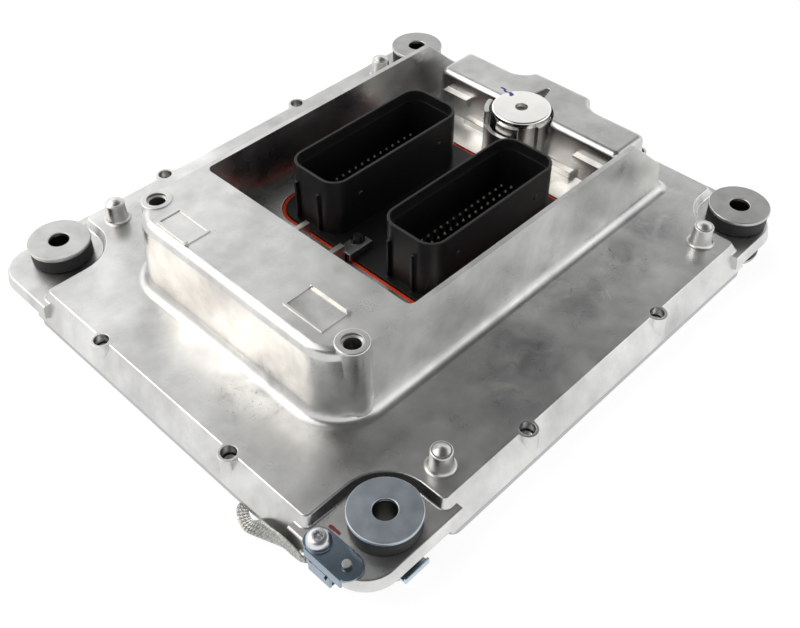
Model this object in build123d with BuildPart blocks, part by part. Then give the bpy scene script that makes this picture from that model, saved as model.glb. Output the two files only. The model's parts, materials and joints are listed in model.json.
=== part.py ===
from build123d import *
import os
from math import atan2, cos, degrees, radians, sin, tan

# Engine control unit of a heavy diesel engine. A die-cast aluminium housing
# hangs on four rubber isolators and holds two connector shrouds in a deep pocket.
# Millimetres. +X runs along the connectors and +Z points up. The origin is the
# centre of the four isolator bolts, on the underside of the lower washers.

os.makedirs("parts", exist_ok=True)


# Isolator bolts and their clamped stack, from the mounting face up
bolt_spacing_x = 228.0
bolt_spacing_y = 202.0
bolt_hole_d = 9.0
washer_d = 27.4
washer_t = 1.6
grommet_d = 26.6
lower_grommet_h = 9.4
upper_grommet_h = 7.0
sleeve_wall = 1.5
spigot_d = 17.6
spigot_depth = 2.5
rubber_clearance = 0.05
washer_edge = 0.3
grommet_edge_r = 1.2

# Corner lugs of the housing
lug_t = 5.4
lug_reach_left = 25.7
lug_reach_right = 14.2
lug_reach_y = 16.4
lug_corner_r = 15.0
lug_overlap = 7.0
lug_draft = 12.0
lug_edge_r = 1.0
lug_edge_least = 20.0
lug_hole_clearance = 0.2

# Deck, side walls and the notches that clear the isolators
deck_rise = 3.8
deck_inset = 6.4
deck_edge_r = 0.9
deck_corner_r = 3.0
skirt_h = 12.1
notch_r = 19.3
notch_draft = 25.0
base_notch_r = 17.0
base_corner_r = 4.0
deck_t = 3.0
rim_w = 12.0
rim_notch_gap = 6.5
cavity_corner_r = 2.0
under_left = -40.0
under_right = 66.0
under_half_y = 57.0
under_corner_r = 16.0
hollow_left = -97.5
hollow_right = -63.5
hollow_half_y = 50.0
hollow_corner_r = 8.0
hollow_draft = 2.0
far_hollow_left = 84.0
far_hollow_right = 101.0
far_hollow_y = 35.5
far_hollow_w = 31.0
far_hollow_corner_r = 4.0

# Pocket walls and the tall block along the -X side
block_left = 102.0
block_inner = 59.0
pocket_rise = 3.9
pocket_half_y = 60.0
wall_base_t = 4.9
wall_h = 34.8
draft = 4.1
block_corner_r = 19.0
block_edge_r = 4.5
base_fillet_r = 5.0
wall_top_end = 80.0
wall_foot_end = 105.4
wall_knee_x = 101.5
wall_knee_drop = 19.4
wall_knee_r = 8.0
wall_start = 84.0
wall_corner_r = 3.0
pocket_draft = 0.5
pocket_corner_r = 3.0
shell_t = 4.0

# Low block at the far end of the pocket
far_inner = 79.5
far_half_y = 55.3
far_h = 20.9
far_edge_r = 3.0
bulge_reach = 8.0
bulge_half_y = 17.5
bulge_foot_y = 22.5
bulge_corner_r = 5.0
bulge_hollow_r = 9.0
footing_h = 16.0
far_shell_t = 3.6

# Threaded bosses on the tall block
boss_x = 86.4
boss_y = 57.9
boss_top_d = 13.5
boss_proud = 0.4
boss_draft = 1.3
thread_d = 6.8
thread_depth = 22.0
thread_mouth_d = 8.2
thread_mouth_depth = 1.6
thread_point_angle = 118.0
point_bottom_r = 0.1
boss_edge_r = 0.6

# Locating posts on the deck
post_x = 84.7
post_y = 100.0
post_top_d = 8.7
post_h = 9.3
post_draft = 3.0
post_foot_r = 1.6
post_edge_r = 0.7

# Cover-screw bosses along the deck's edge
screw_left_y = 40.6
screw_near_x = -49.9
screw_far_x = 34.3
screw_edge_offset = 0.5
screw_boss_top_d = 8.8
screw_boss_draft = 2.6
screw_mouth_d = 6.1
screw_mouth_depth = 7.0
screw_thread_d = 5.0
screw_thread_clearance = 0.05
screw_head_d = 9.6
screw_head_h = 1.9
screw_length = 11.0

# Base cover and its gasket
cover_t = 2.8
gasket_t = 0.6
gasket_inset = 0.8
cover_screw_clearance = 0.4
cover_panel_inset = 34.0
cover_panel_rise = 0.8
cover_panel_r = 10.0
cover_panel_draft = 30.0
cover_inset = 0.3
screw_head_edge = 0.8
screw_drive_d = 4.6
hex_sides = 6

# Connector header: one moulding with two shrouds
seal_left = -34.7
seal_right = 61.3
seal_half_y = 52.3
seal_corner_r = 14.1
seal_w = 2.1
seal_sink = 0.5
seal_clearance = 0.05
seal_land_t = 1.2
seal_land_w = 3.0
seal_edge_r = 0.6
pocket_floor_t = 3.0
flange_t = 2.5
flange_w = 3.5
plate_proud = 0.4
shroud_length = 80.6
shroud_width = 30.1
shroud_centre_x = 11.3
shroud_offset_y = 28.3
shroud_corner_r = 8.2
shroud_h = 28.2
shroud_wall = 2.0
rim_wall = 1.3
rim_depth = 5.0
socket_floor_t = 2.5
leg_w = 6.0
leg_y = 42.0
leg_inset = 8.0
shroud_edge_r = 0.3

# Contact pins
pin_w = 1.0
pin_pitch = 4.0
pin_rows = 4
pins_long_row = 16
pins_short_row = 15
pin_stand = 8.9
pin_point_h = 0.9
pin_point_w = 0.3
pin_clearance = 0.05

# Ribs and bumps on the shrouds
key_rib_t = 1.3
key_rib_proud = 1.4
key_rib_h = 19.3
key_rib_high_y = 9.1
key_rib_low_y = -4.6
bump_d = 2.6
bump_proud = 0.5
bump_x = 25.0
bump_z = 17.0
bump_draft = 35.0

# Tongue with a snap post between the shrouds
tongue_y = 2.2
tongue_w = 7.0
tongue_length = 13.5
tongue_h = 3.5
snap_post_d = 4.6
snap_post_h = 2.8
snap_barb = 1.6
snap_draft = 8.0
snap_barb_draft = 20.0
snap_post_x = -25.5
snap_post_y = 3.5
tongue_edge_r = 0.5

# Stiffening ribs from the tall block into the pocket
gusset_t = 3.0
gusset_end = 35.6
gusset_h = 8.6
gusset_gap = 21.8
gusset_clearance = 0.3

# Steps and hooked pads at the foot of the low block
step_proud = 3.0
step_h = 3.2
step_half_y = 33.0
pad_half_w = 7.7
pad_y = 40.1
pad_top = 13.0
pad_h = 5.6
pad_lip_h = 2.6
pad_proud = 2.5
pad_root = 1.5

# Vent with its cap
vent_x = 78.3
vent_y = -0.5
vent_body_r = 14.3
vent_guard_r = 17.4
vent_guard_t = 2.3
vent_clearance = 1.0
vent_clearance_depth = 10.0
vent_guard_start = 101.0
vent_guard_end = 141.0
vent_guard_low_end = 200.0
vent_guard_low_h = 16.0
vent_body_h = 20.3
vent_guard_h = 22.6
vent_slot_angle = 41.0
vent_slot_depth = 2.6
vent_slot_start = -126.0
vent_slots = 4
vent_bore_d = 8.0
cap_r = 14.0
cap_plate_t = 2.0
cap_skirt_h = 1.7
cap_skirt_r = 13.2
cap_skirt_t = 2.0
cap_hole_d = 5.9
cap_edge_r = 0.9
membrane_gap = 0.4
membrane_t = 0.4
pry_start = 92.0
pry_end = 103.4
pry_start_low = -1.7
pry_start_high = 6.0
pry_end_low = 1.8
pry_end_high = 3.8
pry_depth = 4.0

# Raised frames on the tall block's top
frame_ridge_w = 1.0
frame_ridge_h = 0.6
frame_proud = 0.5
frame_thick_w = 2.2
frame_thick_proud = 1.3
frame_stud_r = 1.5
frame_stud_proud = 1.7
frame_draft = 6.0
frame_left = (-89.8, 36.2, 12.8, 20.5)
frame_right = (-83.4, -36.2, 15.0, 21.5)

# Earth strap with its clamp at the near corner
clamp_t = 1.0
clamp_w = 11.6
clamp_turn = 90.0
clamp_length = 25.0
clamp_gap = 0.2
clamp_edge_r = 0.9
clamp_fold_h = 5.0
clamp_fold_front = 2.4
clamp_fold_back = 1.6
clamp_screw_y = 10.9
clamp_screw_d = 4.2
clamp_head_d = 9.2
clamp_head_h = 3.5
clamp_head_dome_r = 2.6
drive_d = 3.6
drive_depth = 1.6
drive_pin_d = 1.1
drive_lobe_r = 0.6
locating_pin_y = 2.9
locating_pin_d = 3.3
locating_pin_h = 2.6
locating_pin_clearance = 0.2
crimp_front = 2.9
crimp_length = 11.0
crimp_low_z = 6.2
crimp_wall = 0.8
crimp_gap = 0.2
grip_hole_w = 1.8
grip_hole_y = 9.4
grip_hole_z = 12.6
grip_hole_sides = 3
grip_hole_turn = 90.0
grip_slot_w = 1.0
grip_slot_h = 4.4
grip_slot_y = 1.6
grip_slot_z = 11.6
grip_slot_lean = 20.0
braid_t = 1.5
braid_clearance = 0.05
braid_flat_w = 4.8
braid_flat_start = 4.0
braid_flat_turn_y = -51.0
braid_bend_clearance = 0.5
braid_lap = 6.0
# Each row of the braid holds its way along and its way out from the crimp's mouth, its
# height, its width, its lean inward and its heading inward
braid_rows = [
    (0.0, 0.0, 8.9, 3.7, 0.0, 0.0),
    (1.8, 0.8, 8.9, 3.8, 0.0, 0.0),
    (3.4, 1.7, 9.0, 3.9, 0.0, 0.0),
    (7.6, 2.0, 9.9, 7.6, -2.0, 0.0),
    (12.6, 2.2, 10.1, 8.8, -4.0, 0.0),
    (19.0, 2.9, 8.6, 8.4, 8.0, 0.0),
    (24.5, 3.5, 6.9, 7.4, 28.0, 4.0),
    (28.5, 3.9, 4.7, 5.8, 60.0, 10.0),
    (31.2, 3.8, 3.8, 5.0, 82.0, 20.0),
    (34.0, 2.9, 3.35, 4.8, 90.0, 30.0),
]
terminal_t = 1.0
terminal_w = 12.0
terminal_ring_d = 20.0
terminal_tail_w = 8.0
terminal_tail_y = 22.0
terminal_tip = 14.6
terminal_lip_h = 2.0
terminal_ear_l = 5.0
ear_t = 0.8
ear_gap = 0.1

# Circuit board and what it carries
board_t = 1.6
board_gap = 2.7
board_margin = 2.5
board_corner_r = 1.5
board_screw_tip_gap = 0.6
standoff_d = 8.0
standoff_thread_d = 3.4
standoff_thread_depth = 6.4
board_screw_head_d = 7.4
board_screw_head_h = 2.3
standoff_left_x = -116.0
standoff_right_x = 109.0
standoff_side_y = 62.0
standoff_mid_x = -8.0
standoff_mid_y = 92.0
processor_w = 28.0
processor_t = 3.0
processor_place = (24.0, 82.0)
package_edge = 0.4
memory_w = 14.0
memory_t = 1.6
memory_place = (56.0, 82.0)
driver_w = 11.0
driver_t = 3.2
driver_pitch = 24.0
driver_count = 4
driver_row = (12.0, -78.0)
capacitor_d = 18.0
capacitor_h = 32.0
capacitor_pitch = 22.0
capacitor_count = 3
capacitor_x = -80.5
capacitor_edge_r = 1.0
coil_d = 26.0
coil_hole_d = 10.0
coil_shift = 2.0
coil_h = 13.0
coil_edge_r = 3.0
transistor_w = 9.0
transistor_l = 10.0
transistor_t = 4.4
transistor_pitch = 17.0
transistor_count = 5
transistor_row = (-110.0, 0.0)
clip_t = 0.6
clip_margin = 4.0
sensor_w = 10.0
sensor_t = 4.0
sensor_port_d = 3.0
pad_size = 30.0


# Heights that follow from the stack
half_x = bolt_spacing_x / 2
half_y = bolt_spacing_y / 2
lug_bottom = washer_t + lower_grommet_h
lug_top = lug_bottom + lug_t
stack_top = lug_top + upper_grommet_h + washer_t
deck_z = lug_top + deck_rise
skirt_bottom = deck_z - skirt_h
gasket_bottom = skirt_bottom - gasket_t
cover_bottom = gasket_bottom - cover_t
floor_z = deck_z + pocket_rise
wall_top = deck_z + wall_h
far_top = floor_z + far_h
plate_top = floor_z + plate_proud
ceiling_z = deck_z - deck_t
floor_under = floor_z - pocket_floor_t
flange_top = floor_under - seal_land_t
flange_bottom = flange_top - flange_t
board_bottom = gasket_bottom + board_gap
board_top = board_bottom + board_t

# Plan sizes that follow from the bolts
base_left = -half_x - lug_reach_left
base_right = half_x + lug_reach_right
base_y = half_y + lug_reach_y
base_length = base_right - base_left
base_mid = (base_left + base_right) / 2
wall_outer_y = pocket_half_y + wall_base_t
bolt_corners = [(-1, -1), (-1, 1), (1, -1), (1, 1)]
near_corner = (-half_x, -half_y)
skirt_lean = degrees(atan2(deck_inset, skirt_h))
tolerance = 0.01
middle = 0.5
steep_share = 0.5
slant_share = 0.1
full_turn = 360.0
sleeve_d = bolt_hole_d + 2 * sleeve_wall
vent_top = floor_z + vent_body_h
cap_top = vent_top + cap_skirt_h + cap_plate_t
pin_length = plate_top + socket_floor_t + pin_stand - board_top
tongue_left = -gusset_end + gusset_clearance
clip_length = (transistor_count - 1) * transistor_pitch + transistor_l + clip_margin

# Places that follow for the earth strap
clamp_left = base_left - clamp_gap - clamp_t
clamp_mid_x = clamp_left + clamp_w / 2
clamp_end_y = near_corner[1] - locating_pin_y
clamp_far_y = near_corner[1] + clamp_screw_y
clamp_top = lug_top + clamp_t
fold_low_z = clamp_top - clamp_fold_h
crimp_near_y = clamp_end_y + crimp_front
crimp_far_y = crimp_near_y + crimp_length
crimp_top = lug_bottom - crimp_gap
crimp_right = clamp_left + clamp_t + braid_t + 2 * braid_clearance + crimp_wall
braid_x = clamp_left + clamp_t + braid_clearance + braid_t / 2
braid_low_z = braid_rows[-1][2]
terminal_end_y = near_corner[1] + terminal_tail_y


def notch_faces(radius):
    """Squares over the corners, their inner corner round about the bolt's axis."""
    side = lug_reach_left + lug_reach_y + radius
    with BuildSketch() as faces:
        for sx, sy in bolt_corners:
            centre_x = sx * (half_x - radius + side / 2)
            centre_y = sy * (half_y - radius + side / 2)
            with Locations((centre_x, centre_y)):
                Rectangle(side, side)
        inner = faces.vertices().sort_by(lambda v: v.X**2 + v.Y**2)[: len(bolt_corners)]
        fillet(inner, radius=radius)
    return faces.sketch


def footprint(height, inset, radius, corner):
    """The housing's base outline less an inset, notched round the isolators."""
    length = base_length - 2 * inset
    width = 2 * (base_y - inset)
    with BuildSketch(Plane.XY.offset(height)) as outline:
        with Locations((base_mid, 0)):
            Rectangle(length, width)
        add(notch_faces(radius), mode=Mode.SUBTRACT)
        outer = [
            v
            for v in outline.vertices()
            if abs(abs(v.X - base_mid) - length / 2) < tolerance
            or abs(abs(v.Y) - width / 2) < tolerance
        ]
        fillet(outer, radius=corner)
    return outline.sketch


def at_height(edges, height):
    """The edges that lie in a level plane at one height."""
    return edges.filter_by_position(Axis.Z, height - tolerance, height + tolerance)


def rounded(height, left, right, half_width, corner):
    """A rounded rectangle across the X axis, at a height."""
    with BuildSketch(Plane.XY.offset(height)) as outline:
        with Locations(((left + right) / 2, 0)):
            RectangleRounded(right - left, 2 * half_width, corner)
    return outline.sketch


def seal_outline(height, grow):
    """The outline of the header's window, grown or shrunk."""
    return rounded(
        height, seal_left - grow, seal_right + grow, seal_half_y + grow, seal_corner_r + grow
    )


def cavity_outline():
    """The outline of the cavity that opens downward."""
    return footprint(0, rim_w, base_notch_r + rim_notch_gap, cavity_corner_r)


def panel_outline(shrink):
    """The outline of the panel pressed into the base cover."""
    left = base_left + cover_panel_inset + shrink
    right = base_right - cover_panel_inset - shrink
    half_width = base_y - cover_panel_inset - shrink
    return rounded(0, left, right, half_width, cover_panel_r - shrink)


def shroud_outline(height, sign, inset):
    """One shroud's outline less an inset."""
    with BuildSketch(Plane.XY.offset(height)) as outline:
        with Locations((shroud_centre_x, sign * shroud_offset_y)):
            RectangleRounded(
                shroud_length - 2 * inset, shroud_width - 2 * inset, shroud_corner_r - inset
            )
    return outline.sketch


def is_bulge_root(vertex, right, foot_y):
    """True for the two corners where the bulge leaves the low block's end face."""
    return abs(vertex.X - right) < tolerance and abs(abs(vertex.Y) - foot_y) < tolerance


def low_block_outline(height, grow):
    """The low block's outline with its outward bulge, grown or shrunk."""
    right = wall_foot_end + grow
    with BuildSketch(Plane.XY.offset(height)) as outline:
        with BuildLine():
            Polyline(
                (far_inner - grow, -far_half_y - grow),
                (right, -far_half_y - grow),
                (right, -bulge_foot_y - grow),
                (right + bulge_reach, -bulge_half_y - grow),
                (right + bulge_reach, bulge_half_y + grow),
                (right, bulge_foot_y + grow),
                (right, far_half_y + grow),
                (far_inner - grow, far_half_y + grow),
                close=True,
            )
        make_face()
        hollow = [v for v in outline.vertices() if is_bulge_root(v, right, bulge_foot_y + grow)]
        convex = [v for v in outline.vertices() if not is_bulge_root(v, right, bulge_foot_y + grow)]
        fillet(convex, radius=bulge_corner_r + grow)
        hollow = [v for v in outline.vertices() if is_bulge_root(v, right, bulge_foot_y + grow)]
        fillet(hollow, radius=bulge_hollow_r - grow)
    return outline.sketch


def ring_sector(inner, outer, start, end):
    """A part of a ring about the vent's axis, between two angles."""
    angles = (start, (start + end) / 2, end)
    with BuildSketch() as sector:
        with Locations((vent_x, vent_y)):
            Circle(outer)
            Circle(inner, mode=Mode.SUBTRACT)
        with BuildLine():
            Polyline(
                (vent_x, vent_y),
                *[
                    (vent_x + 2 * outer * cos(radians(a)), vent_y + 2 * outer * sin(radians(a)))
                    for a in angles
                ],
                close=True,
            )
        make_face(mode=Mode.INTERSECT)
    return sector.sketch


# Places of what repeats
screw_places = (
    [(base_left + deck_inset - screw_edge_offset, y) for y in (-screw_left_y, screw_left_y)]
    + [(base_right - deck_inset + screw_edge_offset, y) for y in (-screw_left_y, screw_left_y)]
    + [
        (x, s * (base_y - deck_inset + screw_edge_offset))
        for x in (screw_near_x, screw_far_x)
        for s in (-1, 1)
    ]
)
standoff_places = [
    (standoff_left_x, -standoff_side_y),
    (standoff_left_x, standoff_side_y),
    (standoff_mid_x, -standoff_mid_y),
    (standoff_mid_x, standoff_mid_y),
    (standoff_right_x, -standoff_side_y),
    (standoff_right_x, standoff_side_y),
]
gusset_places = [tongue_y, tongue_y + gusset_gap]
clamp_screw_place = (clamp_mid_x, clamp_far_y)
rib_places = [
    (
        shroud_centre_x + end * shroud_length / 2,
        side * shroud_offset_y + offset,
    )
    for end in (-1, 1)
    for side in (-1, 1)
    for offset in (key_rib_high_y, key_rib_low_y)
]
leg_places = [
    (x, y)
    for x in (seal_left + leg_inset, shroud_centre_x, seal_right - leg_inset)
    for y in (-leg_y, leg_y)
]
snap_post_place = (snap_post_x, snap_post_y)
row_counts = [pins_short_row, pins_long_row, pins_long_row, pins_short_row]
pin_places = {
    side: [
        (
            shroud_centre_x + (column - (count - 1) / 2) * pin_pitch,
            side * shroud_offset_y + (row - (pin_rows - 1) / 2) * pin_pitch,
        )
        for row, count in enumerate(row_counts)
        for column in range(count)
    ]
    for side in (-1, 1)
}
capacitor_places = [
    (capacitor_x, (place - capacitor_count / 2) * capacitor_pitch)
    for place in range(capacitor_count)
]
coil_place = (capacitor_x, capacitor_count / 2 * capacitor_pitch + coil_shift)
boss_places = [(-boss_x, -boss_y), (-boss_x, boss_y)]
post_places = [(sx * post_x, sy * post_y) for sx, sy in bolt_corners]
bolt_places = [(sx * half_x, sy * half_y) for sx, sy in bolt_corners]
locating_pin_place = (clamp_mid_x, clamp_end_y)


# Top housing, one aluminium die casting
with BuildPart() as top_housing:
    # Skirt that leans in from the base outline to the deck
    with BuildSketch(Plane.XY.offset(skirt_bottom)):
        with Locations((base_mid, 0)):
            Rectangle(base_length, 2 * base_y)
    extrude(amount=skirt_h, taper=skirt_lean)

    # Corner notches, open above the lugs and below them
    with BuildSketch(Plane.XY.offset(deck_z)):
        add(notch_faces(notch_r))
    extrude(amount=-deck_rise, taper=notch_draft, mode=Mode.SUBTRACT)
    lean = notch_r - deck_rise * tan(radians(notch_draft))
    with BuildSketch(Plane.XY.offset(lug_top)):
        add(notch_faces(lean))
    extrude(amount=-lug_t, mode=Mode.SUBTRACT)
    with BuildSketch(Plane.XY.offset(lug_bottom)):
        add(notch_faces(base_notch_r))
    extrude(amount=-(lug_bottom - skirt_bottom), mode=Mode.SUBTRACT)
    steep = [e for e in top_housing.edges() if abs(e.tangent_at(middle).Z) > steep_share]
    corners = [
        e
        for e in steep
        if e.center().Z > lug_top
        and min(abs(e.tangent_at(middle).X), abs(e.tangent_at(middle).Y)) > slant_share
    ]
    fillet(corners, radius=deck_corner_r)
    rim = top_housing.edges().filter_by_position(Axis.Z, deck_z - tolerance, deck_z + tolerance)
    fillet(rim, radius=deck_edge_r)

    # Lug plates with a rounded outer corner
    with BuildSketch(Plane.XY.offset(lug_bottom)) as lugs:
        with Locations((base_mid, 0)):
            RectangleRounded(base_length, 2 * base_y, lug_corner_r)
        add(notch_faces(lean + lug_overlap), mode=Mode.INTERSECT)
    extrude(amount=lug_t, taper=lug_draft)
    lug_rims = [e for e in at_height(top_housing.edges(), lug_top) if e.length > lug_edge_least]
    fillet(lug_rims, radius=lug_edge_r)

    # Bosses for the cover screws
    with BuildSketch(Plane.XY.offset(deck_z)):
        with Locations(*screw_places):
            Circle(screw_boss_top_d / 2)
    extrude(amount=-skirt_h, taper=-screw_boss_draft)

    # Footing of the raised part, with the low block's outward bulge
    with BuildSketch(Plane.XY.offset(deck_z)) as footing:
        with Locations(((wall_foot_end - block_left) / 2, 0)):
            Rectangle(wall_foot_end + block_left, 2 * wall_outer_y)
        fillet(footing.vertices().group_by(Axis.X)[0], radius=block_corner_r)
        fillet(footing.vertices().group_by(Axis.X)[-1], radius=wall_corner_r)
        add(low_block_outline(0, 0))
    extrude(amount=footing_h, taper=draft)
    foot = [
        e
        for e in at_height(top_housing.edges(), deck_z)
        if abs(e.center().Y) < wall_outer_y + tolerance
        and -block_left - tolerance < e.center().X < wall_foot_end + bulge_reach + tolerance
    ]
    fillet(foot, radius=base_fillet_r)

    # Tall block along the -X side, its top edge well rounded
    with BuildSketch(Plane.XY.offset(deck_z)) as block:
        with Locations((-block_left / 2, 0)):
            Rectangle(block_left, 2 * wall_outer_y)
        fillet(block.vertices().group_by(Axis.X)[0], radius=block_corner_r)
    extrude(amount=wall_h, taper=draft)
    block_rim = at_height(top_housing.edges(), wall_top).sort_by(Axis.X)[:-1]
    fillet(block_rim, radius=block_edge_r)

    # Mass of the two side walls
    with BuildSketch(Plane.XY.offset(deck_z)) as walls:
        with Locations(((wall_foot_end - wall_start) / 2, 0)):
            Rectangle(wall_foot_end + wall_start, 2 * wall_outer_y)
        fillet(walls.vertices().group_by(Axis.X)[-1], radius=wall_corner_r)
    extrude(amount=wall_h, taper=draft)

    # Pocket between the walls, and their sloping ends
    with BuildSketch(Plane.XY.offset(wall_top)) as pocket:
        with Locations(((base_right - block_inner) / 2, 0)):
            Rectangle(base_right + block_inner, 2 * pocket_half_y)
        fillet(pocket.vertices().group_by(Axis.X)[0], radius=pocket_corner_r)
    extrude(amount=floor_z - wall_top, taper=pocket_draft, mode=Mode.SUBTRACT)
    with BuildSketch(Plane.XZ) as ends:
        with BuildLine():
            Polyline(
                (wall_top_end, wall_top),
                (wall_knee_x, wall_top - wall_knee_drop),
                (wall_foot_end - pocket_rise * tan(radians(draft)), floor_z),
                (base_right, floor_z),
                (base_right, wall_top + boss_proud),
                (wall_top_end, wall_top + boss_proud),
                close=True,
            )
        make_face()
        knee = ends.vertices().sort_by_distance((wall_knee_x, 0, wall_top - wall_knee_drop))[0]
        fillet(knee, radius=wall_knee_r)
    extrude(amount=base_y, both=True, mode=Mode.SUBTRACT)

    # Low block at the far end
    with BuildSketch(Plane.XY.offset(floor_z)):
        add(low_block_outline(0, -pocket_rise * tan(radians(draft))))
    extrude(amount=far_h, taper=draft)
    fillet(at_height(top_housing.edges(), far_top), radius=far_edge_r)

    # Threaded bosses on the tall block
    with BuildSketch(Plane.XY.offset(wall_top + boss_proud)):
        with Locations(*boss_places):
            Circle(boss_top_d / 2)
    extrude(amount=-(wall_h + boss_proud), taper=-boss_draft)
    fillet(
        at_height(top_housing.edges(), wall_top + boss_proud),
        radius=boss_edge_r,
    )
    with BuildSketch(Plane.XY.offset(wall_top + boss_proud)):
        with Locations(*boss_places):
            Circle(thread_mouth_d / 2)
    extrude(amount=-thread_mouth_depth, mode=Mode.SUBTRACT)
    with BuildSketch(Plane.XY.offset(wall_top + boss_proud)):
        with Locations(*boss_places):
            Circle(thread_d / 2)
    extrude(amount=-thread_depth, mode=Mode.SUBTRACT)
    point_h = thread_d / 2 / tan(radians(thread_point_angle / 2))
    thread_end = wall_top + boss_proud - thread_depth
    for x, y in boss_places:
        with Locations((x, y, thread_end)):
            Cone(
                point_bottom_r,
                thread_d / 2,
                point_h,
                align=(Align.CENTER, Align.CENTER, Align.MAX),
                mode=Mode.SUBTRACT,
            )

    # Locating posts
    with BuildSketch(Plane.XY.offset(deck_z + post_h)):
        with Locations(*post_places):
            Circle(post_top_d / 2)
    extrude(amount=-post_h, taper=-post_draft)
    fillet(at_height(top_housing.edges(), deck_z + post_h), radius=post_edge_r)
    post_foot_d = post_top_d + 2 * post_h * tan(radians(post_draft))
    post_feet = [
        e
        for e in at_height(top_housing.edges(), deck_z)
        if e.geom_type == GeomType.CIRCLE and abs(2 * e.radius - post_foot_d) < tolerance
    ]
    fillet(post_feet, radius=post_foot_r)

    # Stiffening ribs from the tall block
    with BuildSketch(Plane.XY.offset(floor_z)):
        with Locations(*[(-(block_inner + gusset_end) / 2, y) for y in gusset_places]):
            Rectangle(block_inner - gusset_end, gusset_t)
    extrude(amount=gusset_h)

    # Low step and hooked pads at the foot of the low block
    with BuildSketch(Plane.XY.offset(floor_z)):
        with Locations((far_inner, 0)):
            Rectangle(2 * step_proud, 2 * step_half_y)
    extrude(amount=step_h)
    with BuildSketch(Plane.XZ) as pad:
        with BuildLine():
            Polyline(
                (far_inner + pad_root, floor_z + pad_top),
                (far_inner - pad_proud, floor_z + pad_top),
                (far_inner - pad_proud, floor_z + pad_top - pad_lip_h),
                (far_inner + pad_root, floor_z + pad_top - pad_h),
                close=True,
            )
        make_face()
    for y in (-pad_y, pad_y):
        extrude(Pos(0, y, 0) * pad.sketch, amount=pad_half_w, both=True)

    # Groove round the vent, the vent's body with its four flutes, and the guard
    with BuildSketch(Plane.XY.offset(far_top)):
        with Locations((vent_x, vent_y)):
            Circle(vent_body_r + vent_clearance)
    extrude(amount=-vent_clearance_depth, mode=Mode.SUBTRACT)
    with BuildSketch(Plane.XY.offset(floor_z)):
        with Locations((vent_x, vent_y)):
            Circle(vent_body_r)
        for turn in range(vent_slots):
            start = vent_slot_start - vent_slot_angle / 2 + turn * full_turn / vent_slots
            add(
                ring_sector(
                    vent_body_r - vent_slot_depth, 2 * vent_body_r, start, start + vent_slot_angle
                ),
                mode=Mode.SUBTRACT,
            )
    extrude(amount=vent_body_h)
    guard_inner_r = vent_guard_r - vent_guard_t
    with BuildSketch(Plane.XY.offset(floor_z)):
        add(ring_sector(guard_inner_r, vent_guard_r, vent_guard_start, vent_guard_end))
    extrude(amount=vent_guard_h)
    with BuildSketch(Plane.XY.offset(floor_z)):
        add(ring_sector(guard_inner_r, vent_guard_r, vent_guard_end, vent_guard_low_end))
    extrude(amount=vent_guard_low_h)
    with BuildSketch(Plane.XY.offset(floor_z + vent_body_h)):
        with Locations((vent_x, vent_y)):
            Circle(vent_bore_d / 2)
    extrude(amount=-(vent_body_h + pocket_rise + deck_t), mode=Mode.SUBTRACT)
    with BuildSketch(Plane.XY.offset(far_top)):
        with BuildLine():
            Polyline(
                (pry_start, pry_start_low),
                (pry_end, pry_end_low),
                (pry_end, pry_end_high),
                (pry_start, pry_start_high),
                close=True,
            )
        make_face()
    extrude(amount=-pry_depth, mode=Mode.SUBTRACT)

    # Raised frames on the tall block, each with one thick ridge that ends in a stud
    for (x, y, length, width), ridge_side in zip((frame_left, frame_right), (-1, 1)):
        ridge_x = x + ridge_side * (length - frame_thick_w) / 2
        with BuildSketch(Plane.XY.offset(wall_top - frame_ridge_h)):
            with Locations((x, y)):
                Rectangle(length, width)
                Rectangle(
                    length - 2 * frame_ridge_w, width - 2 * frame_ridge_w, mode=Mode.SUBTRACT
                )
        extrude(amount=frame_ridge_h + frame_proud)
        with BuildSketch(Plane.XY.offset(wall_top - block_edge_r)):
            with Locations((ridge_x, y)):
                Rectangle(frame_thick_w, width)
        extrude(amount=block_edge_r + frame_thick_proud, taper=frame_draft)
        with BuildSketch(Plane.XY.offset(wall_top - block_edge_r)):
            with Locations((ridge_x, y + frame_ridge_w - width / 2)):
                Circle(frame_stud_r)
        extrude(amount=block_edge_r + frame_stud_proud, taper=frame_draft)

    # Cavity from below, with the space under the pocket and the two hollows
    with BuildSketch(Plane.XY.offset(skirt_bottom)):
        add(cavity_outline())
    extrude(amount=ceiling_z - skirt_bottom, mode=Mode.SUBTRACT)
    with BuildSketch(Plane.XY.offset(ceiling_z)):
        add(rounded(0, under_left, under_right, under_half_y, under_corner_r))
    extrude(amount=floor_under - ceiling_z, mode=Mode.SUBTRACT)
    with BuildSketch(Plane.XY.offset(ceiling_z)):
        add(rounded(0, hollow_left, hollow_right, hollow_half_y, hollow_corner_r))
    extrude(amount=wall_top - shell_t - ceiling_z, taper=hollow_draft, mode=Mode.SUBTRACT)
    with BuildSketch(Plane.XY.offset(ceiling_z)):
        with Locations(
            *[((far_hollow_left + far_hollow_right) / 2, s * far_hollow_y) for s in (-1, 1)]
        ):
            RectangleRounded(
                far_hollow_right - far_hollow_left, far_hollow_w, far_hollow_corner_r
            )
    extrude(amount=far_top - far_shell_t - ceiling_z, taper=hollow_draft, mode=Mode.SUBTRACT)

    # Window for the header
    with BuildSketch(Plane.XY.offset(floor_under)):
        add(seal_outline(0, 0))
    extrude(amount=pocket_floor_t, mode=Mode.SUBTRACT)

    # Standoffs for the board
    with BuildSketch(Plane.XY.offset(ceiling_z)):
        with Locations(*standoff_places):
            Circle(standoff_d / 2)
    extrude(amount=board_top - ceiling_z)
    with BuildSketch(Plane.XY.offset(board_top)):
        with Locations(*standoff_places):
            Circle(standoff_thread_d / 2)
    extrude(amount=standoff_thread_depth, mode=Mode.SUBTRACT)

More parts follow.
